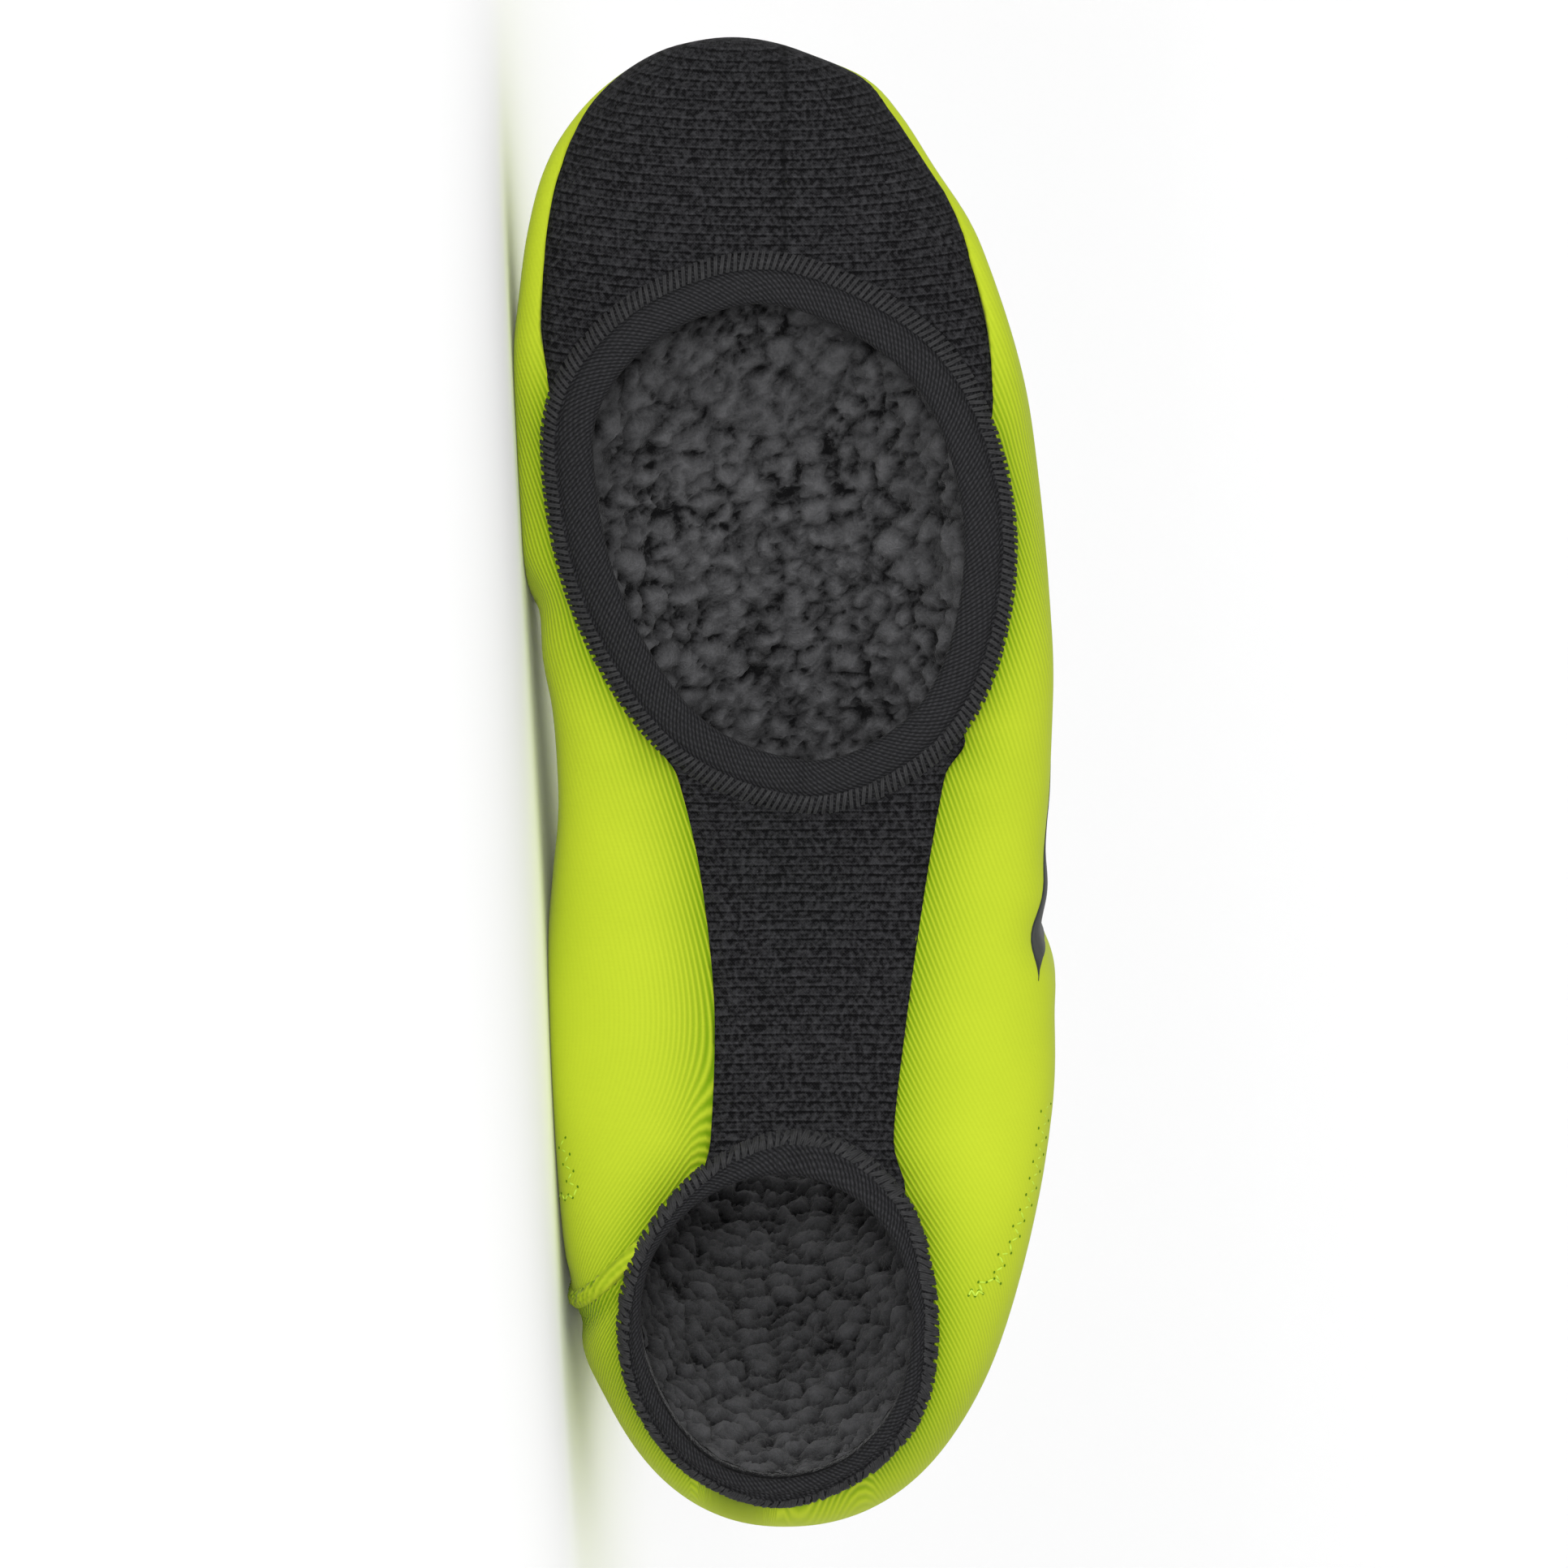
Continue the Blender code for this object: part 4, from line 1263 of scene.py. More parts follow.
@dataclass
class Panel:
    """A woven panel under the foot."""

    last: Last
    name: str
    node: str
    cut: Callable[[Sheet], Sheet]
    sunk: Callable[[Sheet], np.ndarray]
    bow: float = 0.0
    rise: float = 0.25
    wall: float = 1.0 * MM

    def build(self, whole: Sheet) -> bpy.types.Object:
        """Makes the panel."""
        sheet = self.cut(whole)
        outer = sheet.points - self.sunk(sheet)[:, None] * sheet.outward
        inner = outer - self.wall * sheet.outward
        across = sheet.measures.girth * np.sign(sheet.points[:, 1])
        along = sheet.points[:, 0] - self.bow * sheet.points[:, 1] ** 2 - self.rise * sheet.points[:, 2]
        corners = (np.column_stack([across, along]) / MM)[sheet.faces.ravel()]
        return make_wall(
            self.name, self.last, sheet.faces, outer, inner, PANEL_WEAVE, [self.node], corners
        )


class SoleMap:
    """Finds the place on the surface over a point under the sole."""

    def __init__(self, whole: Sheet) -> None:
        """Sorts the low faces for fast searches."""
        low = whole.points[whole.faces][..., 2].min(axis=1) < 60 * MM
        self.tree = BVHTree.FromPolygons(whole.points.tolist(), whole.faces[low].tolist())

    def find(self, plan: np.ndarray) -> tuple[np.ndarray, np.ndarray]:
        """The surface's points and outward directions over points in plan.

        Args:
            plan: Points in X and Y.

        Returns:
            The points on the surface and the outward directions there.
        """
        points, outward = [], []
        for x, y in plan:
            place, normal, _, _ = self.tree.ray_cast(Vector((x, y, -0.1)), Vector((0, 0, 1)))
            if place is None:
                place, normal, _, _ = self.tree.find_nearest(Vector((x, y, 0.01)))
            points.append(place)
            outward.append(normal if normal.z < 0 else -normal)
        return np.array(points), np.array(outward)


class RingPoint(NamedTuple):
    """A point of a binding's section: a share of the width from the opening, and a height in millimetres."""

    share: float
    height: float


@dataclass
class Binding:
    """A tape folded round an opening's edge and overlocked to the cloth round it."""

    last: Last
    name: str
    node: str
    inner_spots: Sequence[Spot]
    outer_spots: Optional[Sequence[Spot]]
    width: float
    profile: Sequence[RingPoint]
    join_along: float
    stitch_from: float
    pitch: float
    wobble: float
    strands: int = 1
    join_across: float = 3.5 * MM
    step: float = 0.45 * MM
    uneven: float = 0.12
    thread_radius: float = 0.27 * MM

    def outlines(self) -> tuple[np.ndarray, np.ndarray]:
        """The binding's inner and outer outlines in plan, point for point.

        Returns:
            Two lists of points with the same steps.
        """
        curve = self.last.outline(self.inner_spots, 40)
        closed = np.vstack([curve, curve[:1]])
        walked = walked_along(closed)
        wanted = np.arange(0, walked[-1], self.step)
        inner = np.column_stack([np.interp(wanted, walked, closed[:, k]) for k in range(2)])
        ahead = np.roll(inner, -3, axis=0) - np.roll(inner, 3, axis=0)
        ahead /= np.linalg.norm(ahead, axis=1, keepdims=True)
        outward = np.column_stack([-ahead[:, 1], ahead[:, 0]])
        if ((inner - inner.mean(axis=0)) * outward).sum() < 0:
            outward = -outward
        if self.outer_spots is None:
            return inner, inner + self.width * outward
        edge = self.last.outline(self.outer_spots, 40)
        middle = inner.mean(axis=0)
        bearing = np.arctan2(*(edge - middle).T[::-1])
        order = np.argsort(bearing)
        reach = np.linalg.norm(edge - middle, axis=1)[order]
        own = np.arctan2(*(inner - middle).T[::-1])
        far = np.interp(own, bearing[order], reach, period=2 * math.pi)
        toward = (inner - middle) / np.linalg.norm(inner - middle, axis=1, keepdims=True)
        return inner, middle + far[:, None] * toward

    def build(self, sole: SoleMap) -> list[bpy.types.Object]:
        """Makes the binding and its stitches.

        Args:
            sole: The surface that the binding lies on.

        Returns:
            The pieces.
        """
        inner, outer = self.outlines()
        count = len(inner)
        shares = sorted({p.share for p in self.profile})
        places = {s: sole.find(inner + s * (outer - inner)) for s in shares}
        walked = np.arange(count) * self.step
        off_join = np.abs(inner[:, 1] - self.join_across) + 9 * np.abs(inner[:, 0] - self.join_along)
        join = np.argmin(off_join)
        from_join = np.abs(walked - walked[join])
        from_join = np.minimum(from_join, walked[-1] + self.step - from_join)
        groove = -0.45 * bell(from_join, 0.45 * MM) + 0.22 * bell(from_join, 0.8 * MM, 1.2 * MM)
        rings = []
        for point in self.profile:
            surface, outward = places[point.share]
            lift = np.full(count, point.height)
            if point.share > self.stitch_from:
                lift += self.uneven * np.sin(walked / (2.1 * MM) + 9 * point.share)
            elif point.height > 0 and point.share < self.stitch_from:
                lift += groove
            rings.append(surface + MM * lift[:, None] * outward)
        number = len(rings)
        points = self.last.rested(np.vstack(rings))
        i, j = np.meshgrid(np.arange(number), np.arange(count), indexing="ij")
        i, j = i.ravel(), j.ravel()
        i2, j2 = (i + 1) % number, (j + 1) % count
        faces = np.column_stack([i * count + j, i2 * count + j, i2 * count + j2, i * count + j2])
        section = walked_along(np.array([(p.share * self.width / MM, p.height) for p in self.profile]))
        section = np.append(section, section[-1] + 1)
        tape = np.append(walked, walked[-1] + self.step) / MM
        corners = ((i, j), (i + 1, j), (i + 1, j + 1), (i, j + 1))
        cloth = np.stack([np.column_stack([tape[b], section[a]]) for a, b in corners], axis=1)
        if signed_volume(points, faces) < 0:
            faces, cloth = faces[:, ::-1], cloth[:, ::-1]
        cloth = cloth.reshape(-1, 2)
        pieces = [make_piece(self.name, points, faces, BINDING_KNIT, [self.node], cloth)]
        middle = (self.stitch_from + 1.0) / 2
        surface, outward = sole.find(inner + middle * (outer - inner))
        path = self.last.rested(surface + 0.75 * MM * outward)
        up = outward @ self.last.pose[:3, :3].T
        half = (1.0 - self.stitch_from) / 2 * np.linalg.norm(outer - inner, axis=1).mean()
        for strand in range(self.strands):
            run = StitchRun(
                name=f"{self.name}_overlock_{strand + 1}",
                pitch=self.pitch * (1 + 0.17 * strand),
                inner=-half - 0.1 * MM,
                outer=half + 0.45 * MM,
                radius=self.thread_radius,
                lift=0.5 * MM,
                slant=0.42,
                wobble=self.wobble,
                seed=11 + strand,
            )
            pieces.append(run.build(path, up))
        return pieces


def signed_volume(points: np.ndarray, quads: np.ndarray) -> float:
    """The volume inside closed quads, negative if they point inwards."""
    a, b, c, d = [points[quads[:, k]] for k in range(4)]
    return float((np.cross(a, b) * c).sum() + (np.cross(a, c) * d).sum()) / 6


@dataclass
class StitchRun:
    """A run of overlock stitches: threads that cross a closed path in a row of narrow arches."""

    name: str
    pitch: float
    inner: float
    outer: float
    radius: float
    lift: float
    slant: float
    wobble: float
    seed: int

    def tree(self) -> bpy.types.NodeTree:
        """The Geometry Nodes tree that sews along the path."""
        sizes = ("Pitch", "Inner", "Outer", "Thread radius", "Lift", "Slant", "Wobble")
        tree, given = geometry_tree(self.name + "_sewing", sizes, seeded=True)
        curve = result(tree, "GeometryNodeMeshToCurve", {"Mesh": given["Guide"]})
        steps = {"Curve": curve, "Length": given["Pitch"]}
        spaced_out = result(tree, "GeometryNodeResampleCurve", steps, mode="LENGTH")
        beside = math_node(tree, "MULTIPLY", given["Pitch"], 0.13)
        high = math_node(tree, "MULTIPLY", given["Lift"], 2.0)
        drop = math_node(tree, "MULTIPLY", given["Lift"], -1.2)
        reach = math_node(tree, "MULTIPLY", given["Pitch"], given["Slant"])
        both = tree.nodes.new("GeometryNodeJoinGeometry")
        for side in (-1.0, 1.0):
            middle_x = math_node(tree, "MULTIPLY", beside, side)
            start_x = math_node(tree, "SUBTRACT", middle_x, reach)
            end_x = math_node(tree, "ADD", middle_x, reach)
            points = {
                "Start": {0: start_x, 1: given["Inner"], 2: 0.0},
                "Middle": {0: middle_x, 1: 0.0, 2: high},
                "End": {0: end_x, 1: given["Outer"], 2: drop},
            }
            bends = {key: result(tree, "ShaderNodeCombineXYZ", place) for key, place in points.items()}
            leg = result(tree, "GeometryNodeCurveQuadraticBezier", {"Resolution": 6, **bends})
            tree.links.new(leg, both.inputs[0])
        section = {"Resolution": 5, "Radius": given["Thread radius"]}
        round_thread = result(tree, "GeometryNodeCurvePrimitiveCircle", section)
        swept = {"Curve": both.outputs[0], "Profile Curve": round_thread, "Fill Caps": True}
        thread = result(tree, "GeometryNodeCurveToMesh", swept)
        tangent = tree.nodes.new("GeometryNodeInputTangent").outputs[0]
        facing = facing_node(tree, named_vector(tree, "up"), tangent)
        low = math_node(tree, "MULTIPLY", given["Wobble"], -1.0)
        limits = {2: low, 3: given["Wobble"], "Seed": given["Seed"]}
        turn = add_node(tree, "FunctionNodeRandomValue", limits, data_type="FLOAT").outputs[1]
        sewn = {"Points": spaced_out, "Instance": thread, "Rotation": facing}
        placed = result(tree, "GeometryNodeInstanceOnPoints", sewn)
        spin = result(tree, "ShaderNodeCombineXYZ", {0: 0.0, 1: 0.0, 2: turn})
        spun = {"Instances": placed, "Rotation": spin, "Local Space": True}
        close_tree(tree, result(tree, "GeometryNodeRotateInstances", spun), DARK_THREAD.build())
        return tree

    def build(self, path: np.ndarray, up: np.ndarray) -> bpy.types.Object:
        """Sews along a path.

        Args:
            path: The path's points, in the world.
            up: The outward direction at each of them.

        Returns:
            The stitches as one piece.
        """
        count = len(path)
        mesh = bpy.data.meshes.new(self.name + "_path")
        mesh.from_pydata(path.tolist(), [(k, (k + 1) % count) for k in range(count)], [])
        store(mesh, "up", up)
        values = {
            "Pitch": self.pitch,
            "Inner": self.inner,
            "Outer": self.outer,
            "Thread radius": self.radius,
            "Lift": self.lift,
            "Slant": self.slant,
            "Wobble": self.wobble,
            "Seed": self.seed,
        }
        return grow(self.name, mesh, self.tree(), values)


def store(mesh: bpy.types.Mesh, name: str, values: np.ndarray) -> None:
    """Stores a number or a vector at each point of a mesh."""
    flat = np.asarray(values, dtype=np.float32)
    kind, key = ("FLOAT_VECTOR", "vector") if flat.ndim == 2 else ("FLOAT", "value")
    mesh.attributes.new(name, kind, "POINT").data.foreach_set(key, flat.ravel())


def grow(
    name: str, mesh: bpy.types.Mesh, tree: bpy.types.NodeTree, values: dict[str, float]
) -> bpy.types.Object:
    """Turns what a Geometry Nodes tree makes of a guide mesh into a plain piece, and removes the guide.

    Args:
        name: The piece's name.
        mesh: The guide's mesh.
        tree: The tree.
        values: The tree's inputs, by name.

    Returns:
        The piece.
    """
    guide = bpy.data.objects.new(name + "_guide", mesh)
    bpy.context.scene.collection.objects.link(guide)
    modifier = guide.modifiers.new("growing", "NODES")
    modifier.node_group = tree
    for item in tree.interface.items_tree:
        if item.in_out == "INPUT" and item.name in values:
            modifier[item.identifier] = values[item.name]
    graph = bpy.context.evaluated_depsgraph_get()
    grown = bpy.data.meshes.new_from_object(guide.evaluated_get(graph))
    grown.name = name
    grown.shade_smooth()
    bpy.data.objects.remove(guide, do_unlink=True)
    bpy.data.meshes.remove(mesh)
    return dress(bpy.data.objects.new(name, grown))


@dataclass
class Lining:
    """The curly fleece inside: a closed base layer with a pile of curls grown over it."""

    last: Last
    body: Body
    back: float = 1.15 * MM
    base: float = 2.0 * MM
    base_painted_shade: float = 0.2
    ball_edge: float = 1.2 * MM
    heel_edge: float = 1.0 * MM
    pile: float = 3.4 * MM
    clump: float = 5.8 * MM
    groove: float = 0.36
    warp: float = 7.5 * MM
    rumple: float = 2.2 * MM
    root: float = 0.35 * MM
    fade: float = 5.0 * MM
    drift_scale: float = 210.0
    depth_scale: float = 120.0
    swell_scale: float = 300.0
    halves: float = 0.42

    def build(self, whole: Sheet) -> list[bpy.types.Object]:
        """Makes the base layer and the curls on it."""
        sheet = whole.kept(lambda m: m.collar - 1.5 * MM)
        sheet = sheet.kept(lambda m: m.ball_opening - self.ball_edge)
        sheet = sheet.kept(lambda m: m.heel_opening - self.heel_edge)
        # The lining follows the knit where it is drawn in or creased
        back = self.back - np.minimum(self.body.relief(sheet), 0)
        front = sheet.points - (back + self.base)[:, None] * sheet.outward
        rear = sheet.points - back[:, None] * sheet.outward
        # The base layer shows only in the gaps between the curls, and its low tone paints shade there
        marks = {"tuft_painted_light": np.full(len(front), self.base_painted_shade)}
        base = make_wall(
            "fleece_base", self.last, sheet.faces, rear, front, LINING_FLEECE, marks=marks
        )
        pieces = [base]
        ground = self.last.rested(front)
        measures = sheet.measures
        ball_room = measures.ball_opening - self.ball_edge
        room = np.min([ball_room, measures.heel_opening, measures.collar], axis=0)
        along = sheet.points[sheet.faces][..., 0].mean(axis=1) / self.last.length
        for name, held in (
            ("fleece_curls_forefoot", along >= self.halves),
            ("fleece_curls_heel", along < self.halves),
        ):
            pieces.append(self.curls(name, ground, sheet.faces[held][:, ::-1], room))
        return pieces

    def curls(self, name: str, points: np.ndarray, faces: np.ndarray, room: np.ndarray) -> bpy.types.Object:
        """Grows curls on a part of the base layer.

        Args:
            name: The piece's name.
            points: The base layer's front points, in the world.
            faces: The triangles to grow on, facing the foot's room.
            room: How far each point is from the lining's edges.

        Returns:
            The curls as one piece.
        """
        used, faces = np.unique(faces, return_inverse=True)
        mesh = bpy.data.meshes.new(name + "_ground")
        mesh.from_pydata(points[used].tolist(), [], faces.reshape(-1, 3).tolist())
        mesh.shade_smooth()
        store(mesh, "fullness", np.clip(room[used] / self.fade, 0, 1))
        values = {
            "Pile": self.pile,
            "Clumps": 1 / self.clump,
            "Groove": self.groove,
            "Warp": self.warp,
            "Rumple": self.rumple,
            "Root": self.root,
        }
        return grow(name, mesh, self.tree(name), values)

    def tree(self, name: str) -> bpy.types.NodeTree:
        """The Geometry Nodes tree that raises clumps of curls with narrow grooves between them, and keeps
        their height for the painted light and shade.
        """
        sizes = ("Pile", "Clumps", "Groove", "Warp", "Rumple", "Root")
        tree, given = geometry_tree(name + "_growing", sizes)
        fine = result(tree, "GeometryNodeSubdivideMesh", {"Mesh": given["Guide"], "Level": 1})
        position = tree.nodes.new("GeometryNodeInputPosition").outputs[0]
        # The clumps' outlines wander, so that no cell reads as a straight-edged one
        wander = {"Vector": position, "Scale": self.drift_scale, "Detail": 3.0}
        drift = add_node(tree, "ShaderNodeTexNoise", wander).outputs["Color"]
        halfway = {0: drift, 1: (0.5, 0.5, 0.5)}
        centred = result(tree, "ShaderNodeVectorMath", halfway, operation="SUBTRACT")
        shift = scaled(tree, centred, given["Warp"])
        place = result(tree, "ShaderNodeVectorMath", {0: position, 1: shift}, operation="ADD")
        cells = {"Vector": place, "Scale": given["Clumps"]}
        border = add_node(tree, "ShaderNodeTexVoronoi", cells, feature="DISTANCE_TO_EDGE").outputs["Distance"]
        shoulder = math_node(tree, "MINIMUM", math_node(tree, "DIVIDE", border, given["Groove"]), 1.0)
        crevice = math_node(tree, "POWER", math_node(tree, "SUBTRACT", 1.0, shoulder), 2.0)
        depth = noise_node(tree, position, self.depth_scale, 2.0)
        deep = math_node(tree, "MULTIPLY", crevice, math_node(tree, "MULTIPLY_ADD", depth, 1.3, -0.05))
        swell = noise_node(tree, place, self.swell_scale, 3.0)
        ragged = math_node(tree, "MULTIPLY_ADD", swell, 1.1, -0.55)
        high = math_node(tree, "ADD", math_node(tree, "SUBTRACT", 0.9, deep), ragged)
        full = result(tree, "GeometryNodeInputNamedAttribute", {"Name": "fullness"}, data_type="FLOAT")
        high = math_node(tree, "MULTIPLY", math_node(tree, "MAXIMUM", high, 0.0), full)
        # The clumps' height goes to the shader as painted light: tops lighter, grooves darker
        mark = {"Geometry": fine, "Name": "tuft_painted_light", "Value": high}
        marked = result(tree, "GeometryNodeStoreNamedAttribute", mark, data_type="FLOAT", domain="POINT")
        # The pile's edge ends below the base layer's face
        rise = math_node(tree, "SUBTRACT", math_node(tree, "MULTIPLY", high, given["Pile"]), given["Root"])
        upward = scaled(tree, tree.nodes.new("GeometryNodeInputNormal").outputs[0], rise)
        aside = scaled(tree, centred, given["Rumple"])
        offset = result(tree, "ShaderNodeVectorMath", {0: upward, 1: aside}, operation="ADD")
        grown = result(tree, "GeometryNodeSetPosition", {"Geometry": marked, "Offset": offset})
        close_tree(tree, grown, LINING_FLEECE.build())
        return tree


@dataclass
class Row:
    """A row of short stitches or needle holes: one small bead at each given place, of thread, or dark as a
    needle hole's painted shadow.
    """

    name: str
    half_size: tuple[float, float, float]
    finish: Cloth
    slot: Slot

    def build(self, places: np.ndarray, aims: np.ndarray, ups: np.ndarray) -> bpy.types.Object:
        """Sews the row.

        Args:
            places: The stitches' middles, in the world.
            aims: The direction that each one runs in.
            ups: The outward direction at each one.

        Returns:
            The row as one piece.
        """
        mesh = bpy.data.meshes.new(self.name + "_places")
        mesh.from_pydata(places.tolist(), [], [])
        store(mesh, "aim", aims)
        store(mesh, "up", ups)
        values = dict(zip(("Length", "Width", "Height"), self.half_size))
        return grow(self.name, mesh, self.tree(), values)

    def tree(self) -> bpy.types.NodeTree:
        """The Geometry Nodes tree that puts a bead at each place."""
        tree, given = geometry_tree(self.name + "_sewing", ("Length", "Width", "Height"))
        facing = facing_node(tree, named_vector(tree, "up"), named_vector(tree, "aim"))
        ball = {"Segments": 8, "Rings": 6, "Radius": 1.0}
        bead = result(tree, "GeometryNodeMeshUVSphere", ball)
        sides = {0: given["Length"], 1: given["Width"], 2: given["Height"]}
        size = result(tree, "ShaderNodeCombineXYZ", sides)
        sewn = {"Points": given["Guide"], "Instance": bead, "Rotation": facing, "Scale": size}
        close_tree(tree, result(tree, "GeometryNodeInstanceOnPoints", sewn), self.finish.build())
        return tree


class Skin:
    """A layer's outer surface in the shoe's frame, which takes what is sewn or printed on it."""

    def __init__(self, last: Last, points: np.ndarray, faces: np.ndarray) -> None:
        """Sorts the faces for fast searches."""
        self.last = last
        self.tree = BVHTree.FromPolygons(points.tolist(), faces.tolist())

    def cast(self, starts: np.ndarray, toward: np.ndarray) -> tuple[np.ndarray, np.ndarray]:
        """Where rays meet the skin, and the normals there, turned against the rays.

        Args:
            starts: The rays' starts.
            toward: One direction for each ray.

        Returns:
            The places and the normals. A ray that misses takes the place nearest to a point well along it.
        """
        places, normals = [], []
        for start, ray in zip(starts, toward):
            place, normal, _, _ = self.tree.ray_cast(Vector(start), Vector(ray))
            if place is None:
                place, normal, _, _ = self.tree.find_nearest(Vector(start) + 0.12 * Vector(ray))
            places.append(place)
            normals.append(-normal if normal.dot(Vector(ray)) > 0 else normal)
        return np.array(places), np.array(normals)

    def fan(
        self, centre: np.ndarray, first: np.ndarray, second: np.ndarray, start: float, stop: float
    ) -> tuple[np.ndarray, np.ndarray]:
        """A line on the skin, cut by a plane: rays from a middle point, turning from one angle to another.

        Args:
            centre: The point inside the foot that the rays leave.
            first: The plane's direction at angle zero.
            second: The plane's direction at a right angle to it.
            start: The first angle.
            stop: The last angle.

        Returns:
            The places and the outward directions.
        """
        angles = np.linspace(start, stop, 240)
        rays = np.cos(angles)[:, None] * first + np.sin(angles)[:, None] * second
        places, normals = self.cast(np.tile(centre, (len(rays), 1)), rays)
        return places, -normals


def spaced(places: np.ndarray, ups: np.ndarray, pitch: float) -> tuple[np.ndarray, np.ndarray]:
    """Points at even steps along a line, with their outward directions.

    Args:
        places: The line's points.
        ups: The outward direction at each of them.
        pitch: The step.

    Returns:
        The new points and directions.
    """
    walked = walked_along(places)
    wanted = np.arange(0, walked[-1], pitch)
    rows = np.hstack([places, ups])
    found = np.column_stack([np.interp(wanted, walked, rows[:, k]) for k in range(6)])
    return found[:, :3], found[:, 3:]


def sew_row(last: Last, row: Row, places: np.ndarray, ups: np.ndarray, lift: float) -> bpy.types.Object:
    """Sews a row of beads along a line in the shoe's frame.

    Args:
        last: The last, for the resting pose.
        row: The row.
        places: The stitches' middles.
        ups: The outward direction at each one.
        lift: How far the beads' middles stand off the line.

    Returns:
        The row's piece.
    """
    aims = np.gradient(places, axis=0)
    turn = last.pose[:3, :3].T
    return row.build(last.rested(places + lift * ups), aims @ turn, ups @ turn)


@dataclass
class Tack:
    """A zigzag row of thread that shows through the knit, ending in a small knot of stitches."""

    last: Last
    name: str
    line: Sequence[tuple[float, float]]
    pitch: float = 1.7 * MM
    swing: float = 0.9 * MM

    def build(self, skin: Skin) -> list[bpy.types.Object]:
        """Sews the tack.

        Args:
            skin: The knit's outer surface.

        Returns:
            The thread and the needle holes' painted shadows.
        """
        line = np.column_stack([np.array(self.line) * MM, np.zeros(len(self.line))])
        plan, _ = spaced(line, np.zeros_like(line), self.pitch)
        run = np.gradient(plan, axis=0)
        run /= np.linalg.norm(run, axis=1, keepdims=True)
        flip = np.where(np.arange(len(plan)) % 2, 1.0, -1.0)[:, None]
        corners = plan + self.swing * flip * np.column_stack([-run[:, 1], run[:, 0], 0 * run[:, 0]])
        knot = corners[-1] + MM * np.array([(0.6, -0.9, 0), (-0.5, -1.6, 0), (0.8, -2.3, 0), (-0.3, -2.9, 0)])
        corners = np.vstack([corners, knot])
        starts = corners - np.array([0, 0, 0.1])
        places, ups = skin.cast(starts, np.tile([0.0, 0.0, 1.0], (len(starts), 1)))
        middles, aims = (places[1:] + places[:-1]) / 2, places[1:] - places[:-1]
        turn = self.last.pose[:3, :3].T
        thread = Row(self.name + "_thread", (0.85 * MM, 0.20 * MM, 0.20 * MM), NEON_THREAD, Slot.NEON)
        pieces = [thread.build(self.last.rested(middles + 0.05 * MM * ups[1:]), aims @ turn, ups[1:] @ turn)]
        # The needle holes are small dark beads of painted shadow
        holes = Row(self.name + "_needle_holes", (0.32 * MM, 0.26 * MM, 0.12 * MM), NEEDLE_HOLE_SHADOW, Slot.NEON)
        pieces.append(sew_row(self.last, holes, places, ups, 0.04 * MM))
        return pieces


@dataclass
class SideStripe:
    """A plain stripe printed along the lateral side, which narrows towards the toe."""

    last: Last
    heel_end: tuple[tuple[float, float], tuple[float, float]] = ((110.5, 15.5), (121.0, 42.0))
    toe_end: tuple[tuple[float, float], tuple[float, float]] = ((185.0, 35.5), (188.0, 50.0))
    film: float = 0.16 * MM
    depth: float = 0.4 * MM

    def build(self, skin: Skin) -> bpy.types.Object:
        """Prints the stripe.

        Args:
            skin: The knit's outer surface.

        Returns:
            The printed film, a thin closed layer.
        """
        rows, columns = 72, 22
        share = np.linspace(0, 1, columns)[:, None]
        heel, toe = np.array(self.heel_end), np.array(self.toe_end)
        grid = []
        for u in np.linspace(0, 1, rows):
            low, high = heel + u * (toe - heel)
            grid.append(low + np.hstack([np.sqrt(share), share]) * (high - low))
        flat = np.vstack(grid) * MM
        starts = np.column_stack([flat[:, 0], np.full(len(flat), 0.2), flat[:, 1]])
        places, ups = skin.cast(starts, np.tile([0.0, -1.0, 0.0], (len(starts), 1)))
        outer = places + self.film * ups
        i, j = np.meshgrid(np.arange(rows - 1), np.arange(columns - 1), indexing="ij")
        a = (i * columns + j).ravel()
        faces = np.vstack(
            [np.column_stack([a, a + columns, a + 1]), np.column_stack([a + 1, a + columns, a + columns + 1])]
        )
        sides = outer[faces]
        facing = np.cross(sides[:, 1] - sides[:, 0], sides[:, 2] - sides[:, 0])[:, 1].sum()
        faces = faces if facing > 0 else faces[:, ::-1]
        inner = outer - self.depth * ups
        return make_wall("side_stripe", self.last, faces, outer, inner, STRIPE_PRINT)


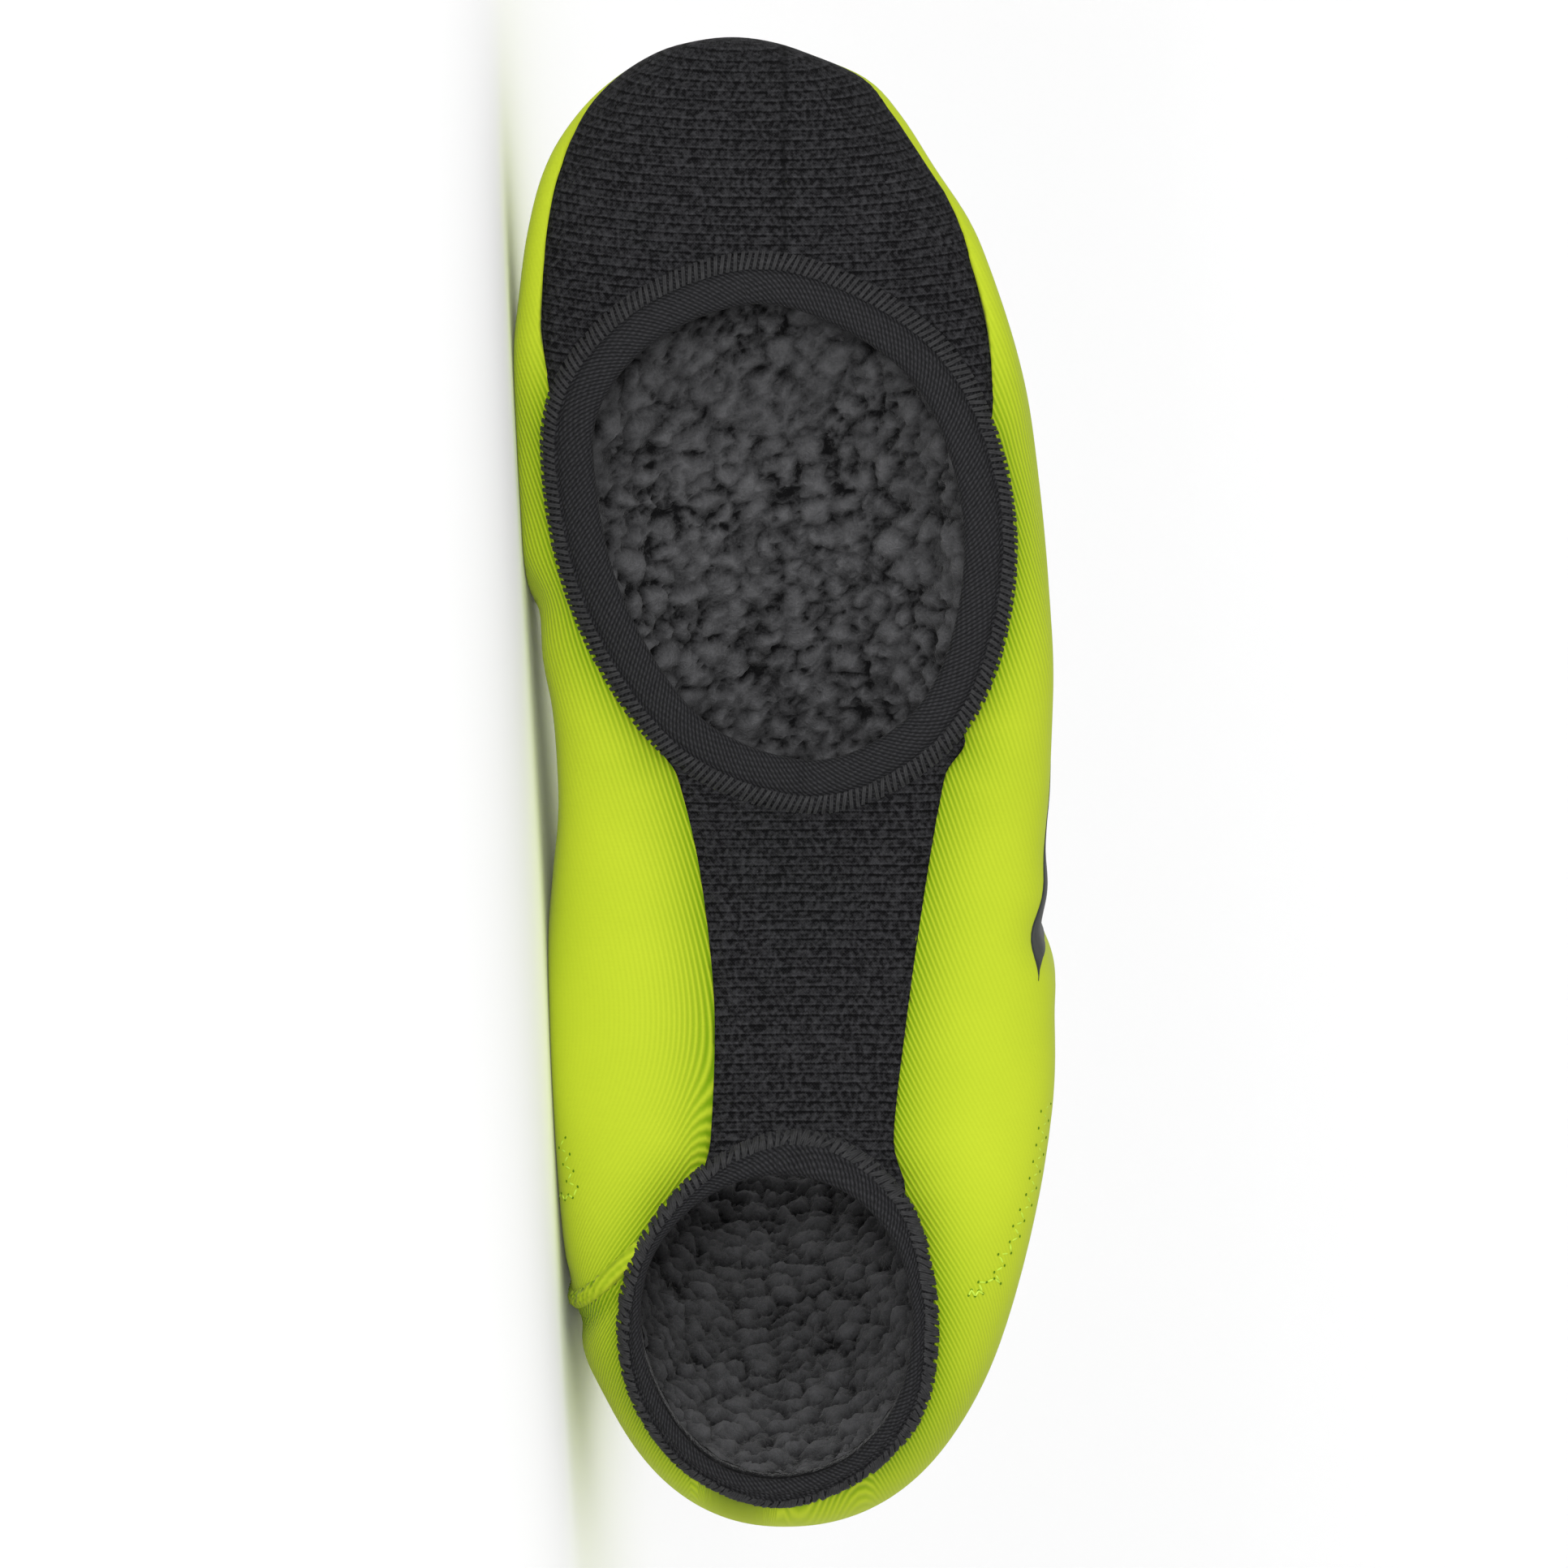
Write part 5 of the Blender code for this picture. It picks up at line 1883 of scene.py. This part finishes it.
@dataclass
class SeamWelt:
    """The raised seam up the medial side, with a row of sunken stitches on its toe side, whose needle holes
    are painted shadows.
    """

    last: Last
    width: float = 3.2 * MM
    proud: float = 1.0 * MM
    wall: float = 2.2 * MM
    pitch: float = 2.1 * MM

    def build(self, whole: Sheet) -> None:
        """Makes the welt and its stitches."""
        sheet = whole.kept(lambda m: self.width / 2 - m.medial_seam)
        sheet = sheet.kept(lambda m: self.width / 2 + m.medial_seam)
        sheet = sheet.kept(lambda m: -m.seam_side)
        sheet = sheet.kept(lambda m: m.heel_binding + 0.4 * MM)
        sheet = sheet.kept(lambda m: m.collar - self.last.hem_width - 0.3 * MM)
        off = sheet.measures.medial_seam / (self.width / 2)
        crown = np.sqrt(np.clip(1 - 0.92 * off**2, 0, 1))
        # Stitches pull the welt in at even steps along it, most on its toe side, and those places are
        # darkened with painted shade
        climb = sheet.points[:, 2] + 0.5 * sheet.points[:, 0]
        pull = 0.5 + 0.5 * np.cos(2 * math.pi * climb / self.pitch)
        proud = self.proud * (1.5 * crown - 0.5) - 0.35 * MM * pull * bell(off, 0.5, 0.75)
        outer = sheet.points + proud[:, None] * sheet.outward
        inner = sheet.points - self.wall * sheet.outward
        place = np.column_stack([climb, sheet.measures.medial_seam]) / MM
        make_wall(
            "seam_welt_knit",
            self.last,
            sheet.faces,
            outer,
            inner,
            NEON_KNIT,
            stands_for=["seam_welt"],
            corners=place[sheet.faces.ravel()],
            # The drawn mark darkens the whole welt as painted shade, most where the stitches pull it in
            marks={"drawn": 0.35 + 0.55 * pull * bell(off, 0.5, 0.8)},
        )
        self.stitches(Skin(self.last, outer, sheet.faces))

    def stitches(self, skin: Skin) -> None:
        """The painted shadows of the needle holes of the row that holds the welt down, on its toe side."""
        first, normal = self.last.medial_plane()
        # The fan of rays leaves from inside the heel and stays in the plane of the stitches
        middle = first + np.array([0, 40 * MM, 62 * MM])
        middle -= ((middle - first) @ normal - 0.30 * self.width) * normal
        medial = np.array([0.0, -1.0, 0.0])
        medial -= (medial @ normal) * normal
        medial /= np.linalg.norm(medial)
        up = np.cross(normal, medial)
        up *= np.sign(up[2])
        places, ups = skin.fan(middle, medial, up, -0.95, 1.15)
        step = np.linalg.norm(np.diff(places, axis=0), axis=1)
        held = np.concatenate([[True], step < 4 * MM])
        places, ups = spaced(places[held], ups[held], self.pitch)
        holes = Row("welt_needle_holes", (0.50 * MM, 0.24 * MM, 0.16 * MM), NEEDLE_HOLE_SHADOW, Slot.NEON)
        sew_row(self.last, holes, places, ups, 0.02 * MM)


@dataclass
class CollarHem:
    """The turned hem at the collar: a rounded band with a stitched edge."""

    last: Last
    wall: float = 2.6 * MM
    stitch_line: float = 12.0 * MM
    pitch: float = 2.6 * MM

    def build(self, whole: Sheet) -> None:
        """Makes the hem and its row of stitches."""
        width = self.last.hem_width
        sheet = whole.kept(lambda m: width - m.collar)
        share = np.clip(sheet.measures.collar / width, 0, 1)
        rounded = 0.7 * np.sqrt(np.clip(1 - (2 * share - 1) ** 6, 0, 1)) - 0.35 * bell(share, 0.05, 0.86)
        outer = sheet.points + (MM * (rounded - 0.1))[:, None] * sheet.outward
        inner = sheet.points - self.wall * sheet.outward
        corners = np.column_stack([sheet.girths(), sheet.measures.collar[sheet.faces].ravel()]) / MM
        make_wall(
            "collar_band",
            self.last,
            sheet.faces,
            outer,
            inner,
            BINDING_KNIT,
            stands_for=["collar_hem"],
            corners=corners,
        )
        lean = self.last.shaft_lean
        along, height = self.last.shaft_centre(1.0)
        down = self.stitch_line
        centre = np.array([along - down * math.sin(lean), 0, height - down * math.cos(lean)])
        ahead = np.array([math.cos(lean), 0, -math.sin(lean)])
        skin = Skin(self.last, outer, sheet.faces)
        places, ups = skin.fan(centre, ahead, np.array([0.0, 1.0, 0.0]), 0, 2 * math.pi)
        places, ups = spaced(places, ups, self.pitch)
        row = Row("collar_stitches", (0.95 * MM, 0.22 * MM, 0.20 * MM), DARK_THREAD, Slot.BINDING)
        sew_row(self.last, row, places, ups, 0.08 * MM)


class Lamp(NamedTuple):
    """A soft square light: its place and size in metres, and its power in watts."""

    name: str
    place: tuple[float, float, float]
    size: float
    power: float


LAMPS = (
    Lamp("key", (-1.25, -2.5, 0.30), 0.9, 22.0),
    Lamp("axis", (-0.14, -2.95, 0.18), 0.3, 36.0),
    Lamp("fill", (0.9, -2.6, 0.6), 1.8, 6.0),
)


@dataclass
class Studio:
    """A pale floor that sweeps up behind, soft lights, and the camera square to the sole."""

    last: Last
    distance: float = 3.0
    frame_height: float = 0.3126
    sensor: float = 36.0
    glow: float = 0.935
    lit_point: tuple[float, float, float] = (0.0, 0.0, 0.05)

    def build(self) -> None:
        """Makes the floor, the lights and the camera."""
        self.sweep()
        self.camera()
        self.lights()

    def sweep(self) -> None:
        """The floor, curved up into a wall well behind the overshoe."""
        half_width, front, back, radius, tall = 7.0, -6.0, 3.8, 0.8, 5.0
        line = [(front, 0.0), (back, 0.0)]
        steps = 12
        for k in range(1, steps + 1):
            turn = math.pi / 2 * k / steps
            line.append((back + radius * math.sin(turn), radius * (1 - math.cos(turn))))
        line.append((back + radius, tall))
        points = [(x, y, z) for y, z in line for x in (-half_width, half_width)]
        faces = [(2 * k, 2 * k + 1, 2 * k + 3, 2 * k + 2) for k in range(len(line) - 1)]
        mesh = bpy.data.meshes.new("studio_sweep")
        mesh.from_pydata(points, [], faces)
        mesh.shade_smooth()
        paper = bpy.data.materials.new("pale studio paper")
        paper.use_nodes = True
        shader = paper.node_tree.nodes["Principled BSDF"]
        shader.inputs["Base Color"].default_value = linear("#FFFFFF")
        shader.inputs["Roughness"].default_value = 0.9
        mesh.materials.append(paper)
        floor = bpy.data.objects.new("studio_sweep", mesh)
        bpy.context.scene.collection.objects.link(floor)

    def camera(self) -> None:
        """The camera looks straight at the sole, with the toe at the top of the picture."""
        data = bpy.data.cameras.new("sole_camera")
        data.sensor_width = self.sensor
        data.lens = self.sensor * self.distance / self.frame_height
        data.clip_end = 30.0
        camera = bpy.data.objects.new("sole_camera", data)
        pose = Matrix(self.last.pose.tolist())
        place = pose @ Vector((self.last.length / 2, 0, -self.distance))
        right, up = pose.to_3x3() @ Vector((0, 1, 0)), pose.to_3x3() @ Vector((1, 0, 0))
        turn = Matrix((right, up, right.cross(up))).transposed()
        camera.matrix_world = Matrix.Translation(place) @ turn.to_4x4()
        bpy.context.scene.collection.objects.link(camera)
        bpy.context.scene.camera = camera

    def lights(self) -> None:
        """Soft lights by the camera, one of them almost in line with it, and an even glow from all round."""
        world = bpy.data.worlds.new("even glow")
        world.use_nodes = True
        world.node_tree.nodes["Background"].inputs[0].default_value = (1, 1, 1, 1)
        world.node_tree.nodes["Background"].inputs[1].default_value = self.glow
        bpy.context.scene.world = world
        bpy.context.scene.view_settings.view_transform = "Standard"
        for name, place, size, power in LAMPS:
            data = bpy.data.lights.new(name, "AREA")
            data.size = size
            data.energy = power
            lamp = bpy.data.objects.new(name, data)
            turn = (Vector(self.lit_point) - Vector(place)).to_track_quat("-Z", "Y")
            lamp.matrix_world = Matrix.Translation(place) @ turn.to_matrix().to_4x4()
            bpy.context.scene.collection.objects.link(lamp)


# The distance from the ball's opening at which the panels end, under the ring
UNDER_RING = 9.0 * MM


def toe_panel_cut(whole: Sheet) -> Sheet:
    """The toe panel's cut from the whole surface."""
    sheet = whole.kept(lambda m: 0.35 * MM - m.toe_seam)
    return sheet.kept(lambda m: m.ball_opening - UNDER_RING)


def toe_panel_sunk(sheet: Sheet) -> np.ndarray:
    """The toe panel's edge turns in under the knit."""
    return MM * (0.1 + 0.9 * bell(sheet.measures.toe_seam, 1.1 * MM))


def arch_panel_cut(whole: Sheet) -> Sheet:
    """The arch panel's cut from the whole surface."""
    sheet = whole.kept(lambda m: 0.5 * MM - m.arch)
    sheet = sheet.kept(lambda m: m.ball_opening - UNDER_RING)
    return sheet.kept(lambda m: m.heel_binding + 1.0 * MM)


def arch_panel_sunk(sheet: Sheet) -> np.ndarray:
    """The arch panel lies in the valley between the knit's bulges, deepest at its edges."""
    measures = sheet.measures
    free = 1 - bell(measures.ball_opening - UNDER_RING, 9 * MM) - bell(measures.heel_binding, 8 * MM)
    return MM * (0.5 * np.clip(free, 0, 1) + 0.9 * bell(measures.arch, 1.4 * MM))


BALL_PROFILE = (
    RingPoint(0.00, -1.2),
    RingPoint(0.01, -0.5),
    RingPoint(0.04, 0.15),
    RingPoint(0.09, 0.6),
    RingPoint(0.17, 0.85),
    RingPoint(0.30, 0.95),
    RingPoint(0.45, 0.95),
    RingPoint(0.57, 0.85),
    RingPoint(0.64, 0.6),
    RingPoint(0.68, 0.15),
    RingPoint(0.72, 0.45),
    RingPoint(0.79, 0.75),
    RingPoint(0.88, 0.75),
    RingPoint(0.95, 0.4),
    RingPoint(1.00, -0.3),
    RingPoint(1.00, -1.3),
    RingPoint(0.72, -1.7),
    RingPoint(0.30, -1.9),
    RingPoint(0.04, -1.9),
)
HEEL_PROFILE = (
    RingPoint(0.00, -1.3),
    RingPoint(0.02, -0.5),
    RingPoint(0.08, 0.2),
    RingPoint(0.16, 0.6),
    RingPoint(0.26, 0.75),
    RingPoint(0.34, 0.6),
    RingPoint(0.38, 0.35),
    RingPoint(0.42, 0.6),
    RingPoint(0.48, 0.6),
    RingPoint(0.53, 0.2),
    RingPoint(0.58, 0.55),
    RingPoint(0.70, 0.8),
    RingPoint(0.85, 0.75),
    RingPoint(0.95, 0.35),
    RingPoint(1.00, -0.3),
    RingPoint(1.00, -1.3),
    RingPoint(0.60, -1.7),
    RingPoint(0.08, -1.9),
)

# The tacks' lines under the foot, in millimetres along it and across it
LATERAL_TACK = (
    (86.0, 52.6),
    (76.5, 51.2),
    (66.8, 49.1),
    (62.0, 46.8),
    (58.0, 45.9),
    (55.5, 43.5),
    (49.8, 42.4),
    (51.5, 40.2),
    (47.6, 38.5),
)
MEDIAL_TACK = ((79.0, -44.6), (74.9, -43.5), (70.1, -42.5), (66.9, -41.1))


def main() -> None:
    """Builds all the pieces."""
    last = Last()
    whole = last.fine_surface(2.0 * MM, 1.5 * MM)
    LOG.info("surface: %d points", len(whole.points))
    sole = SoleMap(whole)
    body = Body(last)
    skin = body.build(whole)
    for name, line in (("lateral_tack", LATERAL_TACK), ("medial_tack", MEDIAL_TACK)):
        Tack(last, name, line).build(skin)
    SideStripe(last).build(skin)
    Panel(last, "toe_weave", "toe_panel", toe_panel_cut, toe_panel_sunk, bow=0.9).build(whole)
    Panel(last, "arch_weave", "arch_panel", arch_panel_cut, arch_panel_sunk).build(whole)
    Binding(
        last,
        name="ball_ring",
        node="ball_binding",
        inner_spots=BALL_OPENING,
        outer_spots=None,
        width=10 * MM,
        profile=BALL_PROFILE,
        join_along=0.5155 * last.length,
        stitch_from=0.70,
        pitch=1.35 * MM,
        wobble=0.14,
    ).build(sole)
    Binding(
        last,
        name="heel_ring",
        node="heel_binding",
        inner_spots=HEEL_OPENING,
        outer_spots=HEEL_BINDING_EDGE,
        width=6 * MM,
        profile=HEEL_PROFILE,
        join_along=0.2405 * last.length,
        stitch_from=0.55,
        pitch=1.45 * MM,
        wobble=0.40,
        strands=2,
    ).build(sole)
    SeamWelt(last).build(whole)
    CollarHem(last).build(whole)
    Lining(last, body).build(last.fine_surface(2.3 * MM))
    Studio(last).build()


if __name__ == "__main__":
    main()
